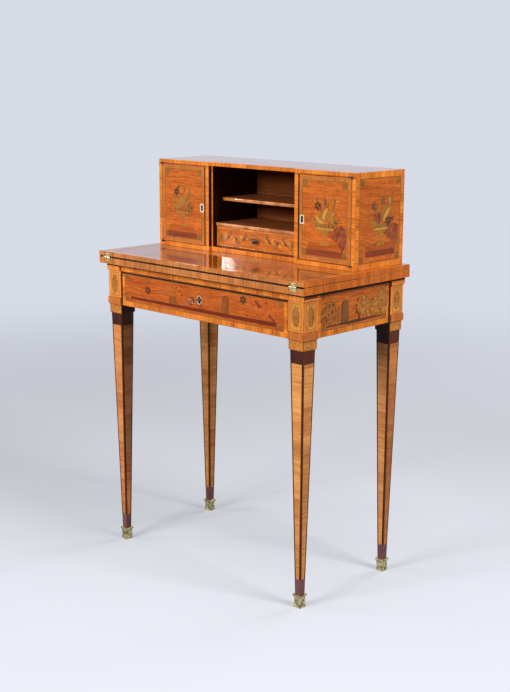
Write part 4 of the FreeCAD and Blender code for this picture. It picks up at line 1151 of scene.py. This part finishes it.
def layShadowLines():
    board = spanOf("lower_top_board")[0].z
    rail = (0, spanOf("front_top_rail")[0].y, board)
    sheet = startSheet("front_shadow_lines", "desk", rail, faces["front"], 0.05)
    inner = spanOf("leg_front_right")[0].x
    # a nearly black strip just under the board: painted shadow of its overhang
    laySlab(sheet, -inner, -shadowLay["rail"], inner, -shadowLay["top"], wood("gapAndShade"))
    closeSheet(sheet)
    for node in legs:
        end, side = node.split("_")[1:]
        layLegShadowLines(node, "end", end, side, board)
        layLegShadowLines(node, "side", side, end, board)
    for side in sides:
        low, high = apronSpan(side)
        foot, low.z = low.z + shadowLay["apronFoot"], 0
        sheet, width, _ = faceSheet("apron_" + side + "_lines", "desk", (low, high), side, 0.3)
        rim, under = shadowLay["apronRim"], board - shadowLay["apron"]
        # a nearly black strip just under the board: painted shadow of its overhang
        laySlab(sheet, rim, under, width - rim, board - shadowLay["top"], wood("gapAndShade", "Y"))
        # a dark joint at the apron's back end, widened with painted shade beside the proud post
        rear = (width - shadowLay["joint"], width - rim) if side == "right" else (rim, shadowLay["joint"])
        laySlab(sheet, rear[0], foot, rear[1], under, wood("gapAndShade", "Z"))
        closeSheet(sheet)


layShadowLines()
print("frieze marquetry laid")

# small drawer: leafy scrolls either side of the knob

scrollLay = dict(rim=1, band=4.0, string=1.2, gapAndShade=(0.6, 2.2), start=22, step=9, sway=7, pace=1.05,
                 points=11, stem=1.6, leaf=(13, 5.5), lean=60, backLeaf=(11, 4.6), back=3, backLean=20,
                 star=(120, 9, 6), disc=11, tones=(light, "olive", dark),
                 backTones=(green, light, "olive"))


def dressSmallDrawer():
    def shiny(tone, axis="Z"):
        return wood(tone, axis, "Waxed")

    span = spanOf("small_drawer_front")
    sheet, width, tall = faceSheet("small_drawer_marquetry", "small_drawer", span, "front", 0.16)
    lay = scrollLay
    outer = inset((0, 0, width, tall), lay["rim"])
    layFrame(sheet, outer, lay["band"], shiny("band"), shiny("band", "X"))
    liftSheet(sheet, 0.2)
    layFrame(sheet, inset(outer, lay["band"]), lay["string"], shiny("olive", "X"), shiny("olive"))
    # a nearly black line along the drawer's foot: dark joint with painted shade under the drawer
    low, high = lay["gapAndShade"]
    laySlab(sheet, low, low, width - low, high, wood("gapAndShade"))
    mid, level = width / 2, tall / 2
    for sign in (-1, 1):
        path = [(mid + sign * (lay["start"] + lay["step"] * k),
                 level + lay["sway"] * math.sin(k * lay["pace"])) for k in range(lay["points"])]
        layStem(sheet, path, lay["stem"], shiny("olive", "X"))
        liftSheet(sheet, 0.26)
        for k in range(1, lay["points"]):
            u, v = path[k]
            angle = (lay["lean"] if sign > 0 else 180 - lay["lean"]) * (1 if k % 2 else -1)
            layLeaf(sheet, u, v, *lay["leaf"], angle, shiny(lay["tones"][k % 3]))
            layLeaf(sheet, u - sign * lay["back"], v, *lay["backLeaf"], -angle + sign * lay["backLean"],
                    shiny(lay["backTones"][k % 3]))
        reach, radius, petals = lay["star"]
        layStar(sheet, mid + sign * reach, level, radius, petals, shiny("olive"))
    layDisc(sheet, mid, level, lay["disc"], lay["disc"], shiny(pale), 24)
    closeSheet(sheet)


dressSmallDrawer()

# tops: banded border with a dark line inside it, open where two boards meet

topLay = dict(border=24.0, line=1.6, rim=1.4, joint=0.2)


def dressTop(node, body, openFront, openBack):
    sheet, width, deep = faceSheet(node + "_banding", body, spanOf(node), "top", 0.12)
    border, line, rim, joint = (topLay[k] for k in ("border", "line", "rim", "joint"))
    v0 = joint if openFront else rim
    v1 = deep - joint if openBack else deep - rim
    w0 = v0 if openFront else border
    w1 = v1 if openBack else deep - border
    u1, b1 = width - rim, width - border
    layPatch(sheet, [(rim, v1), (rim, v0), (border, w0), (border, w1)], wood("topBand"))
    layPatch(sheet, [(u1, v0), (u1, v1), (b1, w1), (b1, w0)], wood("topBand"))
    liftSheet(sheet, 0.16)
    laySlab(sheet, border, w0, border + line, w1, wood(dark, "Y"))
    laySlab(sheet, b1 - line, w0, b1, w1, wood(dark, "Y"))
    if not openFront:
        layPatch(sheet, [(rim, v0), (u1, v0), (b1, w0), (border, w0)], wood("topBand", "Y"))
        laySlab(sheet, border + line, w0, b1 - line, w0 + line, wood(dark))
    if not openBack:
        layPatch(sheet, [(u1, v1), (rim, v1), (border, w1), (b1, w1)], wood("topBand", "Y"))
        laySlab(sheet, border + line, w1 - line, b1 - line, w1, wood(dark))
    closeSheet(sheet)


dressTop("writing_leaf", "leaf", False, True)
dressTop("rear_top_board", "desk", True, False)
print("tops banded")

# stage

floorSet = dict(colour=(0.325, 0.335, 0.362), glow=(0.235, 0.242, 0.262), bounce=0.42, paintedPool=1.24, fade=2.6,
                farColour=(0.02, 0.02, 0.022), farGlow=(0.668, 0.699, 0.780), reach=(1.2, 3.9),
                scuff=(2.2, 5.0, 0.6, 0.4), dull=0.97, slope=0.7, near=0.45, rough=0.55, half=9.0,
                back=5.2, wall=6.0, sweep=1.6, turn=44)


# floor lit by the lamps near the object and painted lighter towards the camera as a painted pool of light,
# with an even pale glow far from it
def makeFloorFinish():
    mat, tree, shader, vec = startMaterial("paleFloor")
    path = addNode(tree, "ShaderNodeLightPath").outputs

    def shaded(share):
        return [c * share for c in floorSet["colour"]]

    scuff = mathNode(tree, "SUBTRACT", noiseAt(tree, vec, *floorSet["scuff"]), 0.5)
    tone = mathNode(tree, "MULTIPLY_ADD", scuff, 0.5, 0.5, clamp=True)
    plain = mixColour(tree, tone, shaded(floorSet["dull"]), floorSet["colour"])
    # the floor's colour grows lighter towards the camera: a painted pool of light
    slope = floorSet["slope"] / floorSet["fade"]
    ahead = vectorNode(tree, "DOT_PRODUCT", vec, (slope, -slope, 0))["Value"]
    near = mathNode(tree, "ADD", ahead, floorSet["near"], clamp=True)
    plain = mixColour(tree, near, plain, shaded(floorSet["paintedPool"]))
    plain = mixColour(tree, path["Is Diffuse Ray"], plain, shaded(floorSet["bounce"]))
    start, end = floorSet["reach"]
    far = addNode(tree, "ShaderNodeMapRange", interpolation_type="SMOOTHSTEP", From_Min=start, From_Max=end)
    tree.links.new(vectorNode(tree, "LENGTH", vec)["Value"], far.inputs["Value"])
    away = far.outputs[0]
    tree.links.new(mixColour(tree, away, plain, floorSet["farColour"]), shader.inputs["Base Color"])
    glow = mixColour(tree, away, floorSet["glow"], floorSet["farGlow"])
    tree.links.new(glow, shader.inputs["Emission Color"])
    shader.inputs["Roughness"].default_value = floorSet["rough"]
    shader.inputs["Specular IOR Level"].default_value = 0.0
    seen = mathNode(tree, "MAXIMUM", path["Is Camera Ray"], path["Is Glossy Ray"])
    tree.links.new(seen, shader.inputs["Emission Strength"])
    return mat


def makeStage():
    bm = bmesh.new()
    bmesh.ops.create_grid(bm, x_segments=1, y_segments=1, size=floorSet["half"])
    bmesh.ops.translate(bm, verts=bm.verts, vec=(0, floorSet["back"] - floorSet["half"], 0))
    rear = [e for e in bm.edges if all(v.co.y > floorSet["back"] - 0.01 for v in e.verts)]
    grown = bmesh.ops.extrude_edge_only(bm, edges=rear)["geom"]
    wall = [g for g in grown if isinstance(g, bmesh.types.BMVert)]
    bmesh.ops.translate(bm, verts=wall, vec=(0, 0, floorSet["wall"]))
    bevelEdges(bm, rear, floorSet["sweep"], 16, False)
    turn = Matrix.Rotation(math.radians(floorSet["turn"]), 3, "Z")      # the sweep faces the camera
    bmesh.ops.rotate(bm, verts=bm.verts, cent=(0, 0, 0), matrix=turn)
    bmesh.ops.recalc_face_normals(bm, faces=bm.faces)
    for face in bm.faces:
        face.smooth = True
    makeObject("studioFloor", bm, [makeFloorFinish()])


makeStage()

# place, aim, width, height and power
softboxes = dict(
    keyFront=((-0.25, -3.35, 2.25), (0, 0, 0.6), 1.4, 1.4, 129),
    stripLeft=((-5.05, -4.80, 2.16), (-0.1, 0.03, 2.16), 0.16, 0.80, 56),
    windowLeft=((-3.2, -2.4, 2.3), (0, 0, 0.7), 1.0, 1.6, 28),
    fillRight=((3.3, 0.25, 3.1), (0, 0, 0.6), 1.3, 1.3, 144),
    overhead=((0.7, -0.7, 4.4), (0.7, -0.8, 0), 2.4, 2.4, 52),
    backFill=((0.6, 3.4, 2.5), (0, 0, 0.6), 1.6, 1.2, 70))
for name, (place, aim, wide, high, power) in softboxes.items():
    data = bpy.data.lights.new(name, "AREA")
    data.shape = "RECTANGLE"
    data.size, data.size_y = wide, high
    data.energy = power
    lamp = bpy.data.objects.new(name, data)
    lamp.location = place
    lamp.rotation_euler = (Vector(aim) - Vector(place)).to_track_quat("-Z", "Y").to_euler()
    bpy.context.scene.collection.objects.link(lamp)

# strength of the world for all rays, and what camera and mirrored rays add
worldSet = dict(tint=(0.86, 0.90, 1.0, 1), base=0.05, seen=0.73, mirrored=0.55)


def makeWorld():
    world = bpy.data.worlds.new("studioWorld")
    bpy.context.scene.world = world
    world.use_nodes = True
    tree = world.node_tree
    sky = tree.nodes["Background"]
    sky.inputs["Color"].default_value = worldSet["tint"]
    path = addNode(tree, "ShaderNodeLightPath").outputs
    seen = mathNode(tree, "MULTIPLY", path["Is Camera Ray"], worldSet["seen"])
    base = mathNode(tree, "ADD", seen, worldSet["base"])
    level = mathNode(tree, "MULTIPLY_ADD", path["Is Glossy Ray"], worldSet["mirrored"], base)
    tree.links.new(level, sky.inputs["Strength"])


makeWorld()

# camera fitted to the photograph's edges, for an image of 510 by 692

cameraSet = dict(place=(2.08474, -2.12261, 1.20989), yaw=44.0608, pitch=12.5142, roll=0.1836,
                 focal=1233.37, rows=692, sensor=36.0, clip=60)


def makeCamera():
    yaw, pitch, roll = (math.radians(cameraSet[k]) for k in ("yaw", "pitch", "roll"))
    ahead = Vector((-math.sin(yaw) * math.cos(pitch), math.cos(yaw) * math.cos(pitch), -math.sin(pitch)))
    right = Vector((math.cos(yaw), math.sin(yaw), 0))
    up = right.cross(ahead)
    right, up = right * math.cos(roll) + up * math.sin(roll), up * math.cos(roll) - right * math.sin(roll)
    data = bpy.data.cameras.new("photoCamera")
    data.sensor_fit = "VERTICAL"
    data.sensor_height = cameraSet["sensor"]
    data.lens = cameraSet["focal"] / cameraSet["rows"] * cameraSet["sensor"]
    data.clip_end = cameraSet["clip"]
    camera = bpy.data.objects.new("photoCamera", data)
    axes = Matrix((right, up, -ahead)).transposed()
    camera.matrix_world = Matrix.LocRotScale(Vector(cameraSet["place"]), axes, None)
    bpy.context.scene.collection.objects.link(camera)
    bpy.context.scene.camera = camera


makeCamera()
bpy.context.scene.view_settings.view_transform = "Standard"

print("scene ready")
